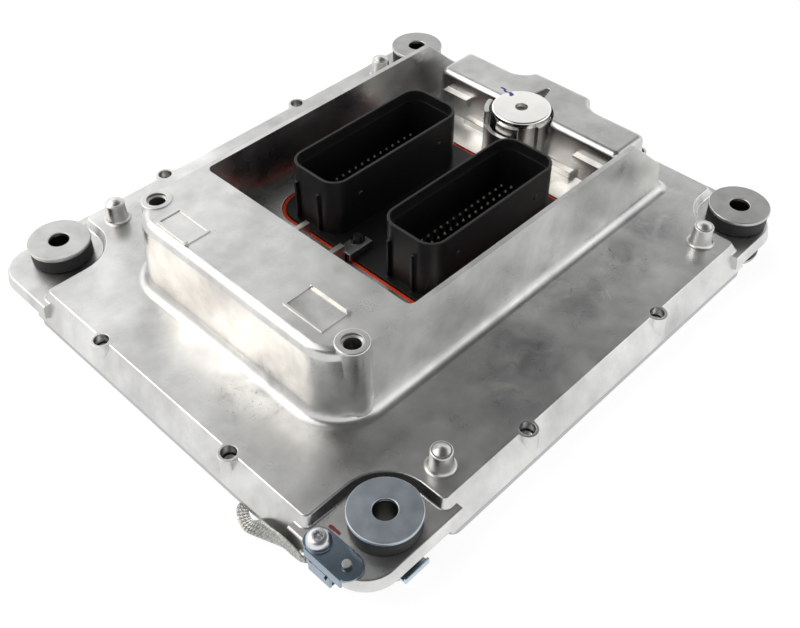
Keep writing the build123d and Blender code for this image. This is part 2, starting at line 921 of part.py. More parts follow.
    # Bores of the cover screws, of the lugs and of the clamp screw
    with BuildSketch(Plane.XY.offset(deck_z)):
        with Locations(*screw_places):
            Circle(screw_mouth_d / 2)
    extrude(amount=-screw_mouth_depth, mode=Mode.SUBTRACT)
    with BuildSketch(Plane.XY.offset(deck_z)):
        with Locations(*screw_places):
            Circle(screw_thread_d / 2 + screw_thread_clearance)
    extrude(amount=-skirt_h, mode=Mode.SUBTRACT)
    with BuildSketch(Plane.XY.offset(lug_bottom)):
        with Locations(*bolt_places):
            Circle(spigot_d / 2 + lug_hole_clearance)
        with Locations(clamp_screw_place):
            Circle(clamp_screw_d / 2)
    extrude(amount=lug_t, mode=Mode.SUBTRACT)

    # Pin that keeps the strap clamp from turning
    with BuildSketch(Plane.XY.offset(lug_top)):
        with Locations(locating_pin_place):
            Circle(locating_pin_d / 2)
    extrude(amount=locating_pin_h)

top_housing.part.label = "top_housing"
export_step(top_housing.part, "parts/top_housing.step")

# Base cover with a shallow panel pressed outward
with BuildPart() as base_cover:
    with BuildSketch(Plane.XY.offset(cover_bottom)):
        add(footprint(0, cover_inset, base_notch_r + cover_inset, base_corner_r))
    extrude(amount=cover_t)
    with BuildSketch(Plane.XY.offset(cover_bottom)):
        add(panel_outline(0))
    extrude(amount=-cover_panel_rise, taper=cover_panel_draft)
    with BuildSketch(Plane.XY.offset(gasket_bottom)):
        add(panel_outline(cover_t))
    extrude(amount=-cover_panel_rise, taper=cover_panel_draft, mode=Mode.SUBTRACT)
    with BuildSketch(Plane.XY.offset(cover_bottom)):
        with Locations(*screw_places):
            Circle(screw_thread_d / 2 + cover_screw_clearance)
    extrude(amount=cover_t, mode=Mode.SUBTRACT)
base_cover.part.label = "base_cover"
export_step(base_cover.part, "parts/base_cover.step")

# Flat gasket between housing and cover
with BuildPart() as cover_gasket:
    with BuildSketch(Plane.XY.offset(gasket_bottom)):
        add(footprint(0, gasket_inset, base_notch_r + gasket_inset, base_corner_r))
        add(cavity_outline(), mode=Mode.SUBTRACT)
        with Locations(*screw_places):
            Circle(screw_thread_d / 2 + cover_screw_clearance, mode=Mode.SUBTRACT)
    extrude(amount=gasket_t)
cover_gasket.part.label = "cover_gasket"
export_step(cover_gasket.part, "parts/cover_gasket.step")

# Cover screws, driven from below
with BuildPart() as cover_screws:
    with BuildSketch(Plane.XY.offset(cover_bottom)):
        with Locations(*screw_places):
            Circle(screw_head_d / 2)
    extrude(amount=-screw_head_h)
    fillet(at_height(cover_screws.edges(), cover_bottom - screw_head_h), radius=screw_head_edge)
    with BuildSketch(Plane.XY.offset(cover_bottom)):
        with Locations(*screw_places):
            Circle(screw_thread_d / 2)
    extrude(amount=screw_length)
    with BuildSketch(Plane.XY.offset(cover_bottom - screw_head_h)):
        with Locations(*screw_places):
            RegularPolygon(screw_drive_d / 2, hex_sides)
    extrude(amount=screw_head_h, mode=Mode.SUBTRACT)
cover_screws.part.label = "cover_screws"
export_step(cover_screws.part, "parts/cover_screws.step")

# Connector header: flange, plate, two shrouds with ribs, legs and snap tongue
with BuildPart() as connector_header:
    with BuildSketch(Plane.XY.offset(flange_bottom)):
        add(seal_outline(0, flange_w))
    extrude(amount=flange_t)
    with BuildSketch(Plane.XY.offset(flange_bottom)):
        add(seal_outline(0, -seal_w))
    extrude(amount=plate_top - flange_bottom)
    with BuildSketch(Plane.XY.offset(plate_top)):
        for side in (-1, 1):
            add(shroud_outline(0, side, 0))
    extrude(amount=shroud_h)
    rims = at_height(connector_header.edges(), plate_top + shroud_h)
    fillet(rims, radius=shroud_edge_r)
    with BuildSketch(Plane.XY.offset(plate_top + socket_floor_t)):
        for side in (-1, 1):
            add(shroud_outline(0, side, shroud_wall))
    extrude(amount=shroud_h, mode=Mode.SUBTRACT)
    with BuildSketch(Plane.XY.offset(plate_top + shroud_h)):
        for side in (-1, 1):
            add(shroud_outline(0, side, rim_wall))
    extrude(amount=-rim_depth, mode=Mode.SUBTRACT)
    with BuildSketch(Plane.XY.offset(plate_top)):
        with Locations(*rib_places):
            Rectangle(2 * key_rib_proud, key_rib_t)
        for side in (-1, 1):
            add(shroud_outline(0, side, shroud_wall / 2), mode=Mode.SUBTRACT)
    extrude(amount=key_rib_h)
    for side in (-1, 1):
        for face in (-1, 1):
            wall_y = side * shroud_offset_y + face * shroud_width / 2
            with BuildSketch(Plane.XZ.offset(-wall_y)):
                with Locations(
                    *[(shroud_centre_x + s * bump_x, plate_top + bump_z) for s in (-1, 1)]
                ):
                    Circle(bump_d / 2)
            extrude(amount=-face * bump_proud, taper=bump_draft)
    with BuildSketch(Plane.XY.offset(flange_bottom)):
        with Locations(*leg_places):
            Rectangle(leg_w, leg_w)
    extrude(amount=board_top - flange_bottom)
    with BuildSketch(Plane.XY.offset(plate_top)):
        with Locations((tongue_left + tongue_length / 2, tongue_y)):
            Rectangle(tongue_length, tongue_w)
    extrude(amount=tongue_h)
    tongue_rim = at_height(connector_header.edges(), plate_top + tongue_h)
    fillet(tongue_rim, radius=tongue_edge_r)
    with BuildSketch(Plane.XY.offset(plate_top + tongue_h)):
        with Locations(snap_post_place):
            Circle(snap_post_d / 2)
    extrude(amount=snap_post_h, taper=snap_draft)
    with BuildSketch(Plane.XY.offset(plate_top + tongue_h)):
        with Locations(snap_post_place):
            Rectangle(snap_post_d + 2 * snap_barb, snap_barb)
    extrude(amount=snap_post_h / 2, taper=snap_barb_draft)
    with BuildSketch(Plane.XY.offset(flange_bottom)):
        with Locations(*pin_places[-1], *pin_places[1]):
            Rectangle(pin_w + 2 * pin_clearance, pin_w + 2 * pin_clearance)
    extrude(amount=plate_top + socket_floor_t - flange_bottom, mode=Mode.SUBTRACT)
connector_header.part.label = "connector_header"
export_step(connector_header.part, "parts/connector_header.step")

# Seal with an L section round the header's plate
with BuildPart() as header_seal:
    with BuildSketch(Plane.XY.offset(flange_top)):
        add(seal_outline(0, seal_land_w))
        add(seal_outline(0, seal_clearance - seal_w), mode=Mode.SUBTRACT)
    extrude(amount=seal_land_t)
    with BuildSketch(Plane.XY.offset(flange_top)):
        add(seal_outline(0, -seal_clearance))
        add(seal_outline(0, seal_clearance - seal_w), mode=Mode.SUBTRACT)
    extrude(amount=floor_z - seal_sink - flange_top)
    seal_rim = at_height(header_seal.edges(), floor_z - seal_sink)
    fillet(seal_rim, radius=seal_edge_r)
header_seal.part.label = "header_seal"
export_step(header_seal.part, "parts/header_seal.step")

# Contact pins of the near and of the far socket, their tips pointed
with BuildPart() as contact_pins_near:
    with BuildSketch(Plane.XY.offset(board_top)):
        with Locations(*pin_places[-1]):
            Rectangle(pin_w, pin_w)
    extrude(amount=pin_length)
    chamfer(at_height(contact_pins_near.edges(), board_top + pin_length), pin_point_h, pin_point_w)
contact_pins_near.part.label = "contact_pins_near"
export_step(contact_pins_near.part, "parts/contact_pins_near.step")

with BuildPart() as contact_pins_far:
    with BuildSketch(Plane.XY.offset(board_top)):
        with Locations(*pin_places[1]):
            Rectangle(pin_w, pin_w)
    extrude(amount=pin_length)
    chamfer(at_height(contact_pins_far.edges(), board_top + pin_length), pin_point_h, pin_point_w)
contact_pins_far.part.label = "contact_pins_far"
export_step(contact_pins_far.part, "parts/contact_pins_far.step")

# Vent disc with a centre hole and a short skirt, and the membrane under it
with BuildPart() as vent_cap:
    with BuildSketch(Plane.XZ):
        with BuildLine():
            Polyline(
                (cap_hole_d / 2, vent_top + cap_skirt_h),
                (cap_skirt_r - cap_skirt_t, vent_top + cap_skirt_h),
                (cap_skirt_r - cap_skirt_t, vent_top),
                (cap_skirt_r, vent_top),
                (cap_skirt_r, vent_top + cap_skirt_h),
                (cap_r, vent_top + cap_skirt_h),
                (cap_r, cap_top),
                (cap_hole_d / 2, cap_top),
                close=True,
            )
        make_face()
    revolve(axis=Axis.Z)
    rim = [e for e in at_height(vent_cap.edges(), cap_top) if e.radius > cap_skirt_r]
    fillet(rim, radius=cap_edge_r)
vent_cap.part.label = "vent_cap"
export_step(Pos(vent_x, vent_y, 0) * vent_cap.part, "parts/vent_cap.step")

with BuildPart() as vent_membrane:
    with BuildSketch(Plane.XY.offset(vent_top)):
        with Locations((vent_x, vent_y)):
            Circle(cap_skirt_r - cap_skirt_t - membrane_gap)
    extrude(amount=membrane_t)
vent_membrane.part.label = "vent_membrane"
export_step(vent_membrane.part, "parts/vent_membrane.step")

# Isolators: washers, rubber grommets with spigots, and spacer sleeves
for number, (x, y) in enumerate(bolt_places, start=1):
    lift = terminal_t if (x, y) == near_corner else 0
    with BuildPart() as upper_washer:
        with BuildSketch(Plane.XY.offset(stack_top)):
            with Locations((x, y)):
                Circle(washer_d / 2)
                Circle(bolt_hole_d / 2, mode=Mode.SUBTRACT)
        extrude(amount=-washer_t)
        chamfer(at_height(upper_washer.edges(), stack_top), length=washer_edge)
    upper_washer.part.label = f"upper_washer_{number}"
    export_step(upper_washer.part, f"parts/upper_washer_{number}.step")
    with BuildPart() as lower_washer:
        with BuildSketch():
            with Locations((x, y)):
                Circle(washer_d / 2)
                Circle(bolt_hole_d / 2, mode=Mode.SUBTRACT)
        extrude(amount=washer_t)
        chamfer(at_height(lower_washer.edges(), 0), length=washer_edge)
    lower_washer.part.label = f"lower_washer_{number}"
    export_step(lower_washer.part, f"parts/lower_washer_{number}.step")
    with BuildPart() as sleeve:
        with BuildSketch(Plane.XY.offset(washer_t + lift)):
            with Locations((x, y)):
                Circle(sleeve_d / 2)
                Circle(bolt_hole_d / 2, mode=Mode.SUBTRACT)
        extrude(amount=stack_top - 2 * washer_t - lift)
    sleeve.part.label = f"sleeve_{number}"
    export_step(sleeve.part, f"parts/sleeve_{number}.step")
    with BuildPart() as upper_grommet:
        with BuildSketch(Plane.XY.offset(lug_top)):
            with Locations((x, y)):
                Circle(grommet_d / 2)
        extrude(amount=upper_grommet_h)
        fillet(at_height(upper_grommet.edges(), lug_top), radius=grommet_edge_r)
        with BuildSketch(Plane.XY.offset(lug_top)):
            with Locations((x, y)):
                Circle(spigot_d / 2)
        extrude(amount=-spigot_depth)
        with BuildSketch(Plane.XY.offset(stack_top - washer_t)):
            with Locations((x, y)):
                Circle(sleeve_d / 2 + rubber_clearance)
        extrude(amount=-(upper_grommet_h + spigot_depth), mode=Mode.SUBTRACT)
    upper_grommet.part.label = f"upper_grommet_{number}"
    export_step(upper_grommet.part, f"parts/upper_grommet_{number}.step")
    with BuildPart() as lower_grommet:
        with BuildSketch(Plane.XY.offset(lug_bottom)):
            with Locations((x, y)):
                Circle(grommet_d / 2)
        extrude(amount=-(lower_grommet_h - lift))
        fillet(at_height(lower_grommet.edges(), lug_bottom), radius=grommet_edge_r)
        with BuildSketch(Plane.XY.offset(lug_bottom)):
            with Locations((x, y)):
                Circle(spigot_d / 2)
        extrude(amount=spigot_depth)
        with BuildSketch(Plane.XY.offset(washer_t + lift)):
            with Locations((x, y)):
                Circle(sleeve_d / 2 + rubber_clearance)
        extrude(amount=lower_grommet_h - lift + spigot_depth, mode=Mode.SUBTRACT)
    lower_grommet.part.label = f"lower_grommet_{number}"
    export_step(lower_grommet.part, f"parts/lower_grommet_{number}.step")

# Clamp plate of the earth strap, folded over the lug's edge into a crimp under the lug
with BuildPart() as strap_clamp:
    with BuildSketch(Plane.XY.offset(lug_top)):
        with Locations((clamp_mid_x, (clamp_end_y + clamp_far_y) / 2)):
            SlotCenterToCenter(clamp_far_y - clamp_end_y, clamp_w, rotation=clamp_turn)
        with Locations((clamp_left + clamp_t, clamp_end_y)):
            Rectangle(
                clamp_w,
                2 * clamp_length,
                align=(Align.MIN, Align.CENTER),
                mode=Mode.INTERSECT,
            )
        with Locations(clamp_screw_place):
            Circle(clamp_screw_d / 2, mode=Mode.SUBTRACT)
        with Locations(locating_pin_place):
            Circle(locating_pin_d / 2 + locating_pin_clearance, mode=Mode.SUBTRACT)
    extrude(amount=clamp_t)
    with BuildSketch(Plane.XZ.offset(-clamp_far_y - clamp_fold_back)) as fold:
        with BuildLine():
            Polyline(
                (clamp_left + clamp_t, lug_top),
                (clamp_left + clamp_t, clamp_top),
                (clamp_left, clamp_top),
                (clamp_left, fold_low_z),
                (clamp_left + clamp_t, fold_low_z),
                close=True,
            )
        make_face()
        outer = fold.vertices().sort_by_distance((clamp_left, 0, clamp_top))[0]
        fillet(outer, radius=clamp_edge_r)
    extrude(amount=clamp_far_y + clamp_fold_back - clamp_end_y + clamp_fold_front)
    with BuildSketch(Plane.XZ.offset(-crimp_far_y)):
        with BuildLine():
            Polyline(
                (clamp_left, fold_low_z),
                (clamp_left, crimp_low_z),
                (crimp_right, crimp_low_z),
                (crimp_right, crimp_top),
                (crimp_right - crimp_wall, crimp_top),
                (crimp_right - crimp_wall, crimp_low_z + crimp_wall),
                (clamp_left + clamp_t, crimp_low_z + crimp_wall),
                (clamp_left + clamp_t, fold_low_z),
                close=True,
            )
        make_face()
    extrude(amount=crimp_length)
    with BuildSketch(Plane.YZ.offset(clamp_left)):
        with Locations((crimp_near_y + grip_hole_y, grip_hole_z)):
            RegularPolygon(grip_hole_w / 2, grip_hole_sides, rotation=grip_hole_turn)
        with Locations((crimp_near_y + grip_slot_y, grip_slot_z)):
            Rectangle(grip_slot_w, grip_slot_h, rotation=grip_slot_lean)
    extrude(amount=clamp_t, mode=Mode.SUBTRACT)
strap_clamp.part.label = "strap_clamp"
export_step(strap_clamp.part, "parts/strap_clamp.step")

# Clamp screw with a domed head, a six-lobe recess and its centre pin
with BuildPart() as strap_screw:
    with BuildSketch(Plane.XY.offset(clamp_top)):
        with Locations(clamp_screw_place):
            Circle(clamp_head_d / 2)
    extrude(amount=clamp_head_h)
    head_rim = at_height(strap_screw.edges(), clamp_top + clamp_head_h)
    fillet(head_rim, radius=clamp_head_dome_r)
    with BuildSketch(Plane.XY.offset(clamp_top)):
        with Locations(clamp_screw_place):
            Circle(clamp_screw_d / 2 - screw_thread_clearance)
    extrude(amount=-(clamp_t + lug_t))
    with BuildSketch(Plane.XY.offset(clamp_top + clamp_head_h)):
        with Locations(clamp_screw_place):
            Circle(drive_d / 2 - drive_lobe_r)
            with PolarLocations(drive_d / 2 - drive_lobe_r, hex_sides):
                Circle(drive_lobe_r)
            Circle(drive_pin_d / 2, mode=Mode.SUBTRACT)
    extrude(amount=-drive_depth, mode=Mode.SUBTRACT)
strap_screw.part.label = "strap_screw"
export_step(strap_screw.part, "parts/strap_screw.step")


def braid_section(row):
    """One cross-section of the braid, leaning and heading inward by its two angles."""
    along, out, height, width, lean, heading = row
    ahead = Vector(sin(radians(heading)), cos(radians(heading)), 0)
    inward = Vector(cos(radians(heading)), -sin(radians(heading)), 0)
    across = Vector(0, 0, 1) * cos(radians(lean)) + inward * sin(radians(lean))
    place = (braid_x - out, crimp_far_y + along, height)
    with BuildSketch(Plane(origin=place, x_dir=across, z_dir=ahead)) as section:
        Rectangle(width, braid_t)
    return section.sketch


# Braided earth strap: out of the crimp, along the side as a blade that turns flat,
# and under the cover to the ring terminal
with BuildPart() as ground_strap:
    for row in braid_rows:
        add(braid_section(row))
    loft()
    along, out, height, width, lean, heading = braid_rows[0]
    with BuildSketch(Plane.XZ.offset(-crimp_far_y)):
        with Locations((braid_x, height)):
            Rectangle(braid_t, width)
    extrude(amount=crimp_length)
    along, out, height, width, lean, heading = braid_rows[-1]
    turn_x = braid_x - out
    turn_y = crimp_far_y + along
    ahead_x = braid_flat_start * sin(radians(heading))
    ahead_y = braid_flat_start * cos(radians(heading))
    with BuildSketch(Plane.XY.offset(braid_low_z - braid_t / 2)):
        with BuildLine():
            FilletPolyline(
                (turn_x, turn_y),
                (turn_x + ahead_x, turn_y + ahead_y),
                (near_corner[0], braid_flat_turn_y),
                (near_corner[0], terminal_end_y - braid_lap),
                radius=braid_flat_w / 2 + braid_bend_clearance,
            )
        trace(line_width=braid_flat_w)
    extrude(amount=braid_t)
ground_strap.part.label = "ground_strap"
export_step(ground_strap.part, "parts/ground_strap.step")

# Ring terminal with two ears round the braid's end and an upturned tip
with BuildPart() as strap_terminal:
    with BuildSketch(Plane.XY.offset(washer_t)):
        with Locations(near_corner):
            Circle(terminal_ring_d / 2)
        with Locations((near_corner[0], near_corner[1] - terminal_tip / 2)):
            Rectangle(terminal_w, terminal_tip)
        with Locations((near_corner[0], near_corner[1] + terminal_tail_y / 2)):
            Rectangle(terminal_tail_w, terminal_tail_y)
        with Locations((near_corner[0], terminal_end_y - terminal_ear_l / 2)):
            Rectangle(braid_flat_w + 2 * ear_gap + 2 * ear_t, terminal_ear_l)
        with Locations(near_corner):
            Circle(bolt_hole_d / 2, mode=Mode.SUBTRACT)
    extrude(amount=terminal_t)
    with BuildSketch(Plane.XY.offset(washer_t)):
        for side in (-1, 1):
            ear_x = near_corner[0] + side * (braid_flat_w / 2 + ear_gap + ear_t / 2)
            with Locations((ear_x, terminal_end_y - terminal_ear_l / 2)):
                Rectangle(ear_t, terminal_ear_l)
    extrude(amount=terminal_t + braid_t)
    with BuildSketch(Plane.XY.offset(washer_t)):
        with Locations((near_corner[0], near_corner[1] - terminal_tip - terminal_t / 2)):
            Rectangle(terminal_w, terminal_t)
    extrude(amount=terminal_t + terminal_lip_h)
strap_terminal.part.label = "strap_terminal"
export_step(strap_terminal.part, "parts/strap_terminal.step")

# Circuit board, cut round the cavity's corners, with holes for its screws
with BuildPart() as circuit_board:
    with BuildSketch(Plane.XY.offset(board_bottom)):
        add(
            footprint(
                0, rim_w + board_margin, base_notch_r + rim_notch_gap + board_margin, board_corner_r
            )
        )
        with Locations(*standoff_places):
            Circle(standoff_thread_d / 2, mode=Mode.SUBTRACT)
    extrude(amount=board_t)
circuit_board.part.label = "circuit_board"
export_step(circuit_board.part, "parts/circuit_board.step")

# Board screws, up into the standoffs
with BuildPart() as board_screws:
    with BuildSketch(Plane.XY.offset(board_bottom)):
        with Locations(*standoff_places):
            Circle(board_screw_head_d / 2)
    extrude(amount=-board_screw_head_h)
    with BuildSketch(Plane.XY.offset(board_bottom)):
        with Locations(*standoff_places):
            Circle(standoff_thread_d / 2 - screw_thread_clearance)
    extrude(amount=board_t + standoff_thread_depth - board_screw_tip_gap)
board_screws.part.label = "board_screws"
export_step(board_screws.part, "parts/board_screws.step")

# Processor with the thermal pad that reaches up to the housing
with BuildPart() as processor:
    with BuildSketch(Plane.XY.offset(board_top)):
        with Locations(processor_place):
            Rectangle(processor_w, processor_w)
    extrude(amount=processor_t)
    chamfer(at_height(processor.edges(), board_top + processor_t), length=package_edge)
processor.part.label = "processor"
export_step(processor.part, "parts/processor.step")

with BuildPart() as thermal_pad:
    with BuildSketch(Plane.XY.offset(board_top + processor_t)):
        with Locations(processor_place):
            Rectangle(pad_size, pad_size)
    extrude(amount=ceiling_z - board_top - processor_t)
thermal_pad.part.label = "thermal_pad"
export_step(thermal_pad.part, "parts/thermal_pad.step")

with BuildPart() as memory_chip:
    with BuildSketch(Plane.XY.offset(board_top)):
        with Locations(memory_place):
            Rectangle(memory_w, memory_w)
    extrude(amount=memory_t)
memory_chip.part.label = "memory_chip"
export_step(memory_chip.part, "parts/memory_chip.step")

with BuildPart() as driver_chips:
    with BuildSketch(Plane.XY.offset(board_top)):
        with Locations(driver_row):
            with GridLocations(driver_pitch, driver_w, driver_count, 1):
                Rectangle(driver_w, driver_w)
    extrude(amount=driver_t)
driver_chips.part.label = "driver_chips"
export_step(driver_chips.part, "parts/driver_chips.step")

# Storage capacitors and coil, upright in the tall block
with BuildPart() as storage_capacitors:
    with BuildSketch(Plane.XY.offset(board_top)):
        with Locations(*capacitor_places):
            Circle(capacitor_d / 2)
    extrude(amount=capacitor_h)
    fillet(at_height(storage_capacitors.edges(), board_top + capacitor_h), radius=capacitor_edge_r)
storage_capacitors.part.label = "storage_capacitors"
export_step(storage_capacitors.part, "parts/storage_capacitors.step")

with BuildPart() as storage_coil:
    with BuildSketch(Plane.XY.offset(board_top)):
        with Locations(coil_place):
            Circle(coil_d / 2)
            Circle(coil_hole_d / 2, mode=Mode.SUBTRACT)
    extrude(amount=coil_h)
    fillet(at_height(storage_coil.edges(), board_top + coil_h), radius=coil_edge_r)
storage_coil.part.label = "storage_coil"
export_step(storage_coil.part, "parts/storage_coil.step")

# Power transistors in a row under one clip
with BuildPart() as power_transistors:
    with BuildSketch(Plane.XY.offset(board_top)):
        with Locations(transistor_row):
            with GridLocations(transistor_w, transistor_pitch, 1, transistor_count):
                Rectangle(transistor_w, transistor_l)
    extrude(amount=transistor_t)
power_transistors.part.label = "power_transistors"
export_step(power_transistors.part, "parts/power_transistors.step")

with BuildPart() as transistor_clip:
    with BuildSketch(Plane.XY.offset(board_top + transistor_t)):
        with Locations(transistor_row):
            Rectangle(transistor_w, clip_length)
    extrude(amount=clip_t)
    with BuildSketch(Plane.XY.offset(board_top)):
        with Locations(transistor_row):
            with GridLocations(transistor_w, clip_length - clip_margin / 2, 1, 2):
                Rectangle(transistor_w, clip_margin / 2)
    extrude(amount=transistor_t + clip_t)
transistor_clip.part.label = "transistor_clip"
export_step(transistor_clip.part, "parts/transistor_clip.step")

# Pressure sensor under the vent
with BuildPart() as pressure_sensor:
    with BuildSketch(Plane.XY.offset(board_top)):
        with Locations((vent_x, vent_y)):
            Rectangle(sensor_w, sensor_w)
            Circle(sensor_port_d / 2, mode=Mode.SUBTRACT)
    extrude(amount=sensor_t)
    with BuildSketch(Plane.XY.offset(board_top)):
        with Locations((vent_x, vent_y)):
            Rectangle(sensor_w, sensor_w)
    extrude(amount=sensor_t / 2)
pressure_sensor.part.label = "pressure_sensor"
export_step(pressure_sensor.part, "parts/pressure_sensor.step")
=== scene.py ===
"""Looks of the engine control unit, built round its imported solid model."""

import json
import logging
import math
from collections.abc import Callable
from dataclasses import dataclass
from enum import Enum
from functools import partial

import bmesh
import bpy
from mathutils import Matrix, Vector


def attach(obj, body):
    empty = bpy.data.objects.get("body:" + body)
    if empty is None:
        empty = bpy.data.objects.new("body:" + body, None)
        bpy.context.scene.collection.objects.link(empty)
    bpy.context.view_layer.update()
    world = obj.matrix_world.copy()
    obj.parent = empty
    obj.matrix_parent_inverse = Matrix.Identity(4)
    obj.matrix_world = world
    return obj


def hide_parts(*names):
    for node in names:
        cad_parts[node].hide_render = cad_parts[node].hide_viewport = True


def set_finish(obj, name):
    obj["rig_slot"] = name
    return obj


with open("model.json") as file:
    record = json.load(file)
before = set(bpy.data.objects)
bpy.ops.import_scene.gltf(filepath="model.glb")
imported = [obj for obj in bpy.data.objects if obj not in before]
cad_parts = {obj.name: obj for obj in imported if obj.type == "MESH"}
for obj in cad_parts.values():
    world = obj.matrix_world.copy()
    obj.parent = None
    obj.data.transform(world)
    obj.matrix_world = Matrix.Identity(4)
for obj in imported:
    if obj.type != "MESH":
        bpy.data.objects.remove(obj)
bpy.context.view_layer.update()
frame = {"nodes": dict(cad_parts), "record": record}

LOG = logging.getLogger("control_unit")
MM = 0.001
ROOT = "root"
# Shares of a finish's roughness between which it varies
ROUGH_SPREAD = (0.85, 1.15)

Socket = bpy.types.NodeSocket
Tree = bpy.types.NodeTree


def linear(hex_colour: str) -> tuple[float, float, float, float]:
    """Turns an sRGB hex colour into linear light.

    Args:
        hex_colour: Six hex digits, as in "8a8d90".

    Returns:
        Red, green, blue and an alpha of 1.
    """
    shares = [int(hex_colour[i : i + 2], 16) / 255 for i in (0, 2, 4)]
    light = [c / 12.92 if c <= 0.04045 else ((c + 0.055) / 1.055) ** 2.4 for c in shares]
    return (*light, 1.0)


def per_mm(size: float) -> float:
    """Texture scale at which one feature of a pattern is so many millimetres wide."""
    return 1.0 / (size * MM)


def add_node(
    tree: Tree, kind: str, inputs: dict | tuple = (), output: int | str = 0, **settings: object
) -> Socket:
    """Adds one shader node with its settings and links.

    Args:
        tree: The material's or world's node tree.
        kind: The node's type, without its "ShaderNode" prefix.
        inputs: What each input takes, in order or by name or number: a value or a socket.
        output: Which of the node's outputs is wanted.
        **settings: The node's own properties.

    Returns:
        The wanted output.
    """
    made = tree.nodes.new("ShaderNode" + kind)
    for name, value in settings.items():
        setattr(made, name, value)
    for key, value in inputs.items() if isinstance(inputs, dict) else enumerate(inputs):
        if isinstance(value, Socket):
            tree.links.new(value, made.inputs[key])
        else:
            made.inputs[key].default_value = value
    return made.outputs[output]


@dataclass(frozen=True)
class Stroke:
    """A short line on a surface: a scratch, a crease or a pen mark."""

    start: tuple[float, float, float]
    end: tuple[float, float, float]
    width: float
    colour: str
    strength: float = 1.0
    wobble: float = 0.3
    waver_mm: float = 2.5

    def mask(self, tree: Tree, place: Socket) -> Socket:
        """Draws the stroke.

        Args:
            tree: The material's node tree.
            place: Object coordinates.

        Returns:
            A share that is the stroke's strength on its line and 0 off it.
        """
        add = partial(add_node, tree)
        start, run = Vector(self.start) * MM, (Vector(self.end) - Vector(self.start)) * MM
        wavers = {"Vector": place, "Scale": per_mm(self.waver_mm), "Detail": 1.0}
        waver = add("TexNoise", wavers, "Color")
        middle = add("VectorMath", (waver, (0.5, 0.5, 0.5)), operation="SUBTRACT")
        shift = add("VectorMath", {0: middle, "Scale": self.wobble * MM}, operation="SCALE")
        moved = add("VectorMath", (place, shift), operation="ADD")
        offset = add("VectorMath", (moved, start), operation="SUBTRACT")
        along = add("VectorMath", (offset, run / run.length_squared), 1, operation="DOT_PRODUCT")
        inside = add("MapRange", (along, 0.0, 1.0, 0.0, 1.0))
        nearest = add("VectorMath", {0: run, "Scale": inside}, operation="SCALE")
        away = add("VectorMath", (offset, nearest), 1, operation="DISTANCE")
        outer, inner = self.width * 0.6 * MM, self.width * 0.4 * MM
        return add("MapRange", (away, outer, inner, 0.0, self.strength))


@dataclass(frozen=True)
class Finish:
    """A plain finish: one colour that varies slightly, as any real surface does."""

    name: str
    colour: str
    roughness: float
    metallic: float = 0.0
    grain_mm: float = 6.0
    spread: float = 0.12
    bump_mm: float = 0.01
    # Real grain is finer than the render can show, so it is drawn this coarse
    bump_grain_mm: float = 0.8
    strokes: tuple[Stroke, ...] = ()

    def build(self) -> bpy.types.Material:
        """Makes the material.

        Returns:
            A node material that reads Object coordinates.
        """
        material = bpy.data.materials.new(self.name)
        material.use_nodes = True
        tree = material.node_tree
        shader = tree.nodes["Principled BSDF"]
        shader.inputs["Metallic"].default_value = self.metallic
        place = add_node(tree, "TexCoord", output="Object")
        colour, roughness, height = self.pattern(partial(add_node, tree), place)
        for stroke in self.strokes:
            layers = {0: stroke.mask(tree, place), 6: colour, 7: linear(stroke.colour)}
            colour = add_node(tree, "Mix", layers, 2, data_type="RGBA")
        bump = add_node(tree, "Bump", {"Height": height, "Distance": self.bump_mm * MM})
        tree.links.new(colour, shader.inputs["Base Color"])
        tree.links.new(roughness, shader.inputs["Roughness"])
        tree.links.new(bump, shader.inputs["Normal"])
        return material

    def pattern(self, add: Callable[..., Socket], place: Socket) -> tuple[Socket, Socket, Socket]:
        """Draws the finish's colour, roughness and height.

        Args:
            add: Adds a node to the material's tree.
            place: Object coordinates.

        Returns:
            Sockets of colour, roughness and height.
        """
        broad_grain = {"Vector": place, "Scale": per_mm(self.grain_mm), "Detail": 3.0}
        fine_grain = {"Vector": place, "Scale": per_mm(self.bump_grain_mm), "Detail": 2.0}
        broad, fine = add("TexNoise", broad_grain), add("TexNoise", fine_grain)
        base = linear(self.colour)
        dark = (*(c * (1 - self.spread) for c in base[:3]), 1.0)
        light = (*(min(1.0, c * (1 + self.spread)) for c in base[:3]), 1.0)
        tone = add("MapRange", (broad, 0.3, 0.7, 0.0, 1.0))
        colour = add("Mix", {0: tone, 6: dark, 7: light}, 2, data_type="RGBA")
        least, most = (self.roughness * share for share in ROUGH_SPREAD)
        rough = add("MapRange", (broad, 0.0, 1.0, least, most))
        return colour, rough, fine


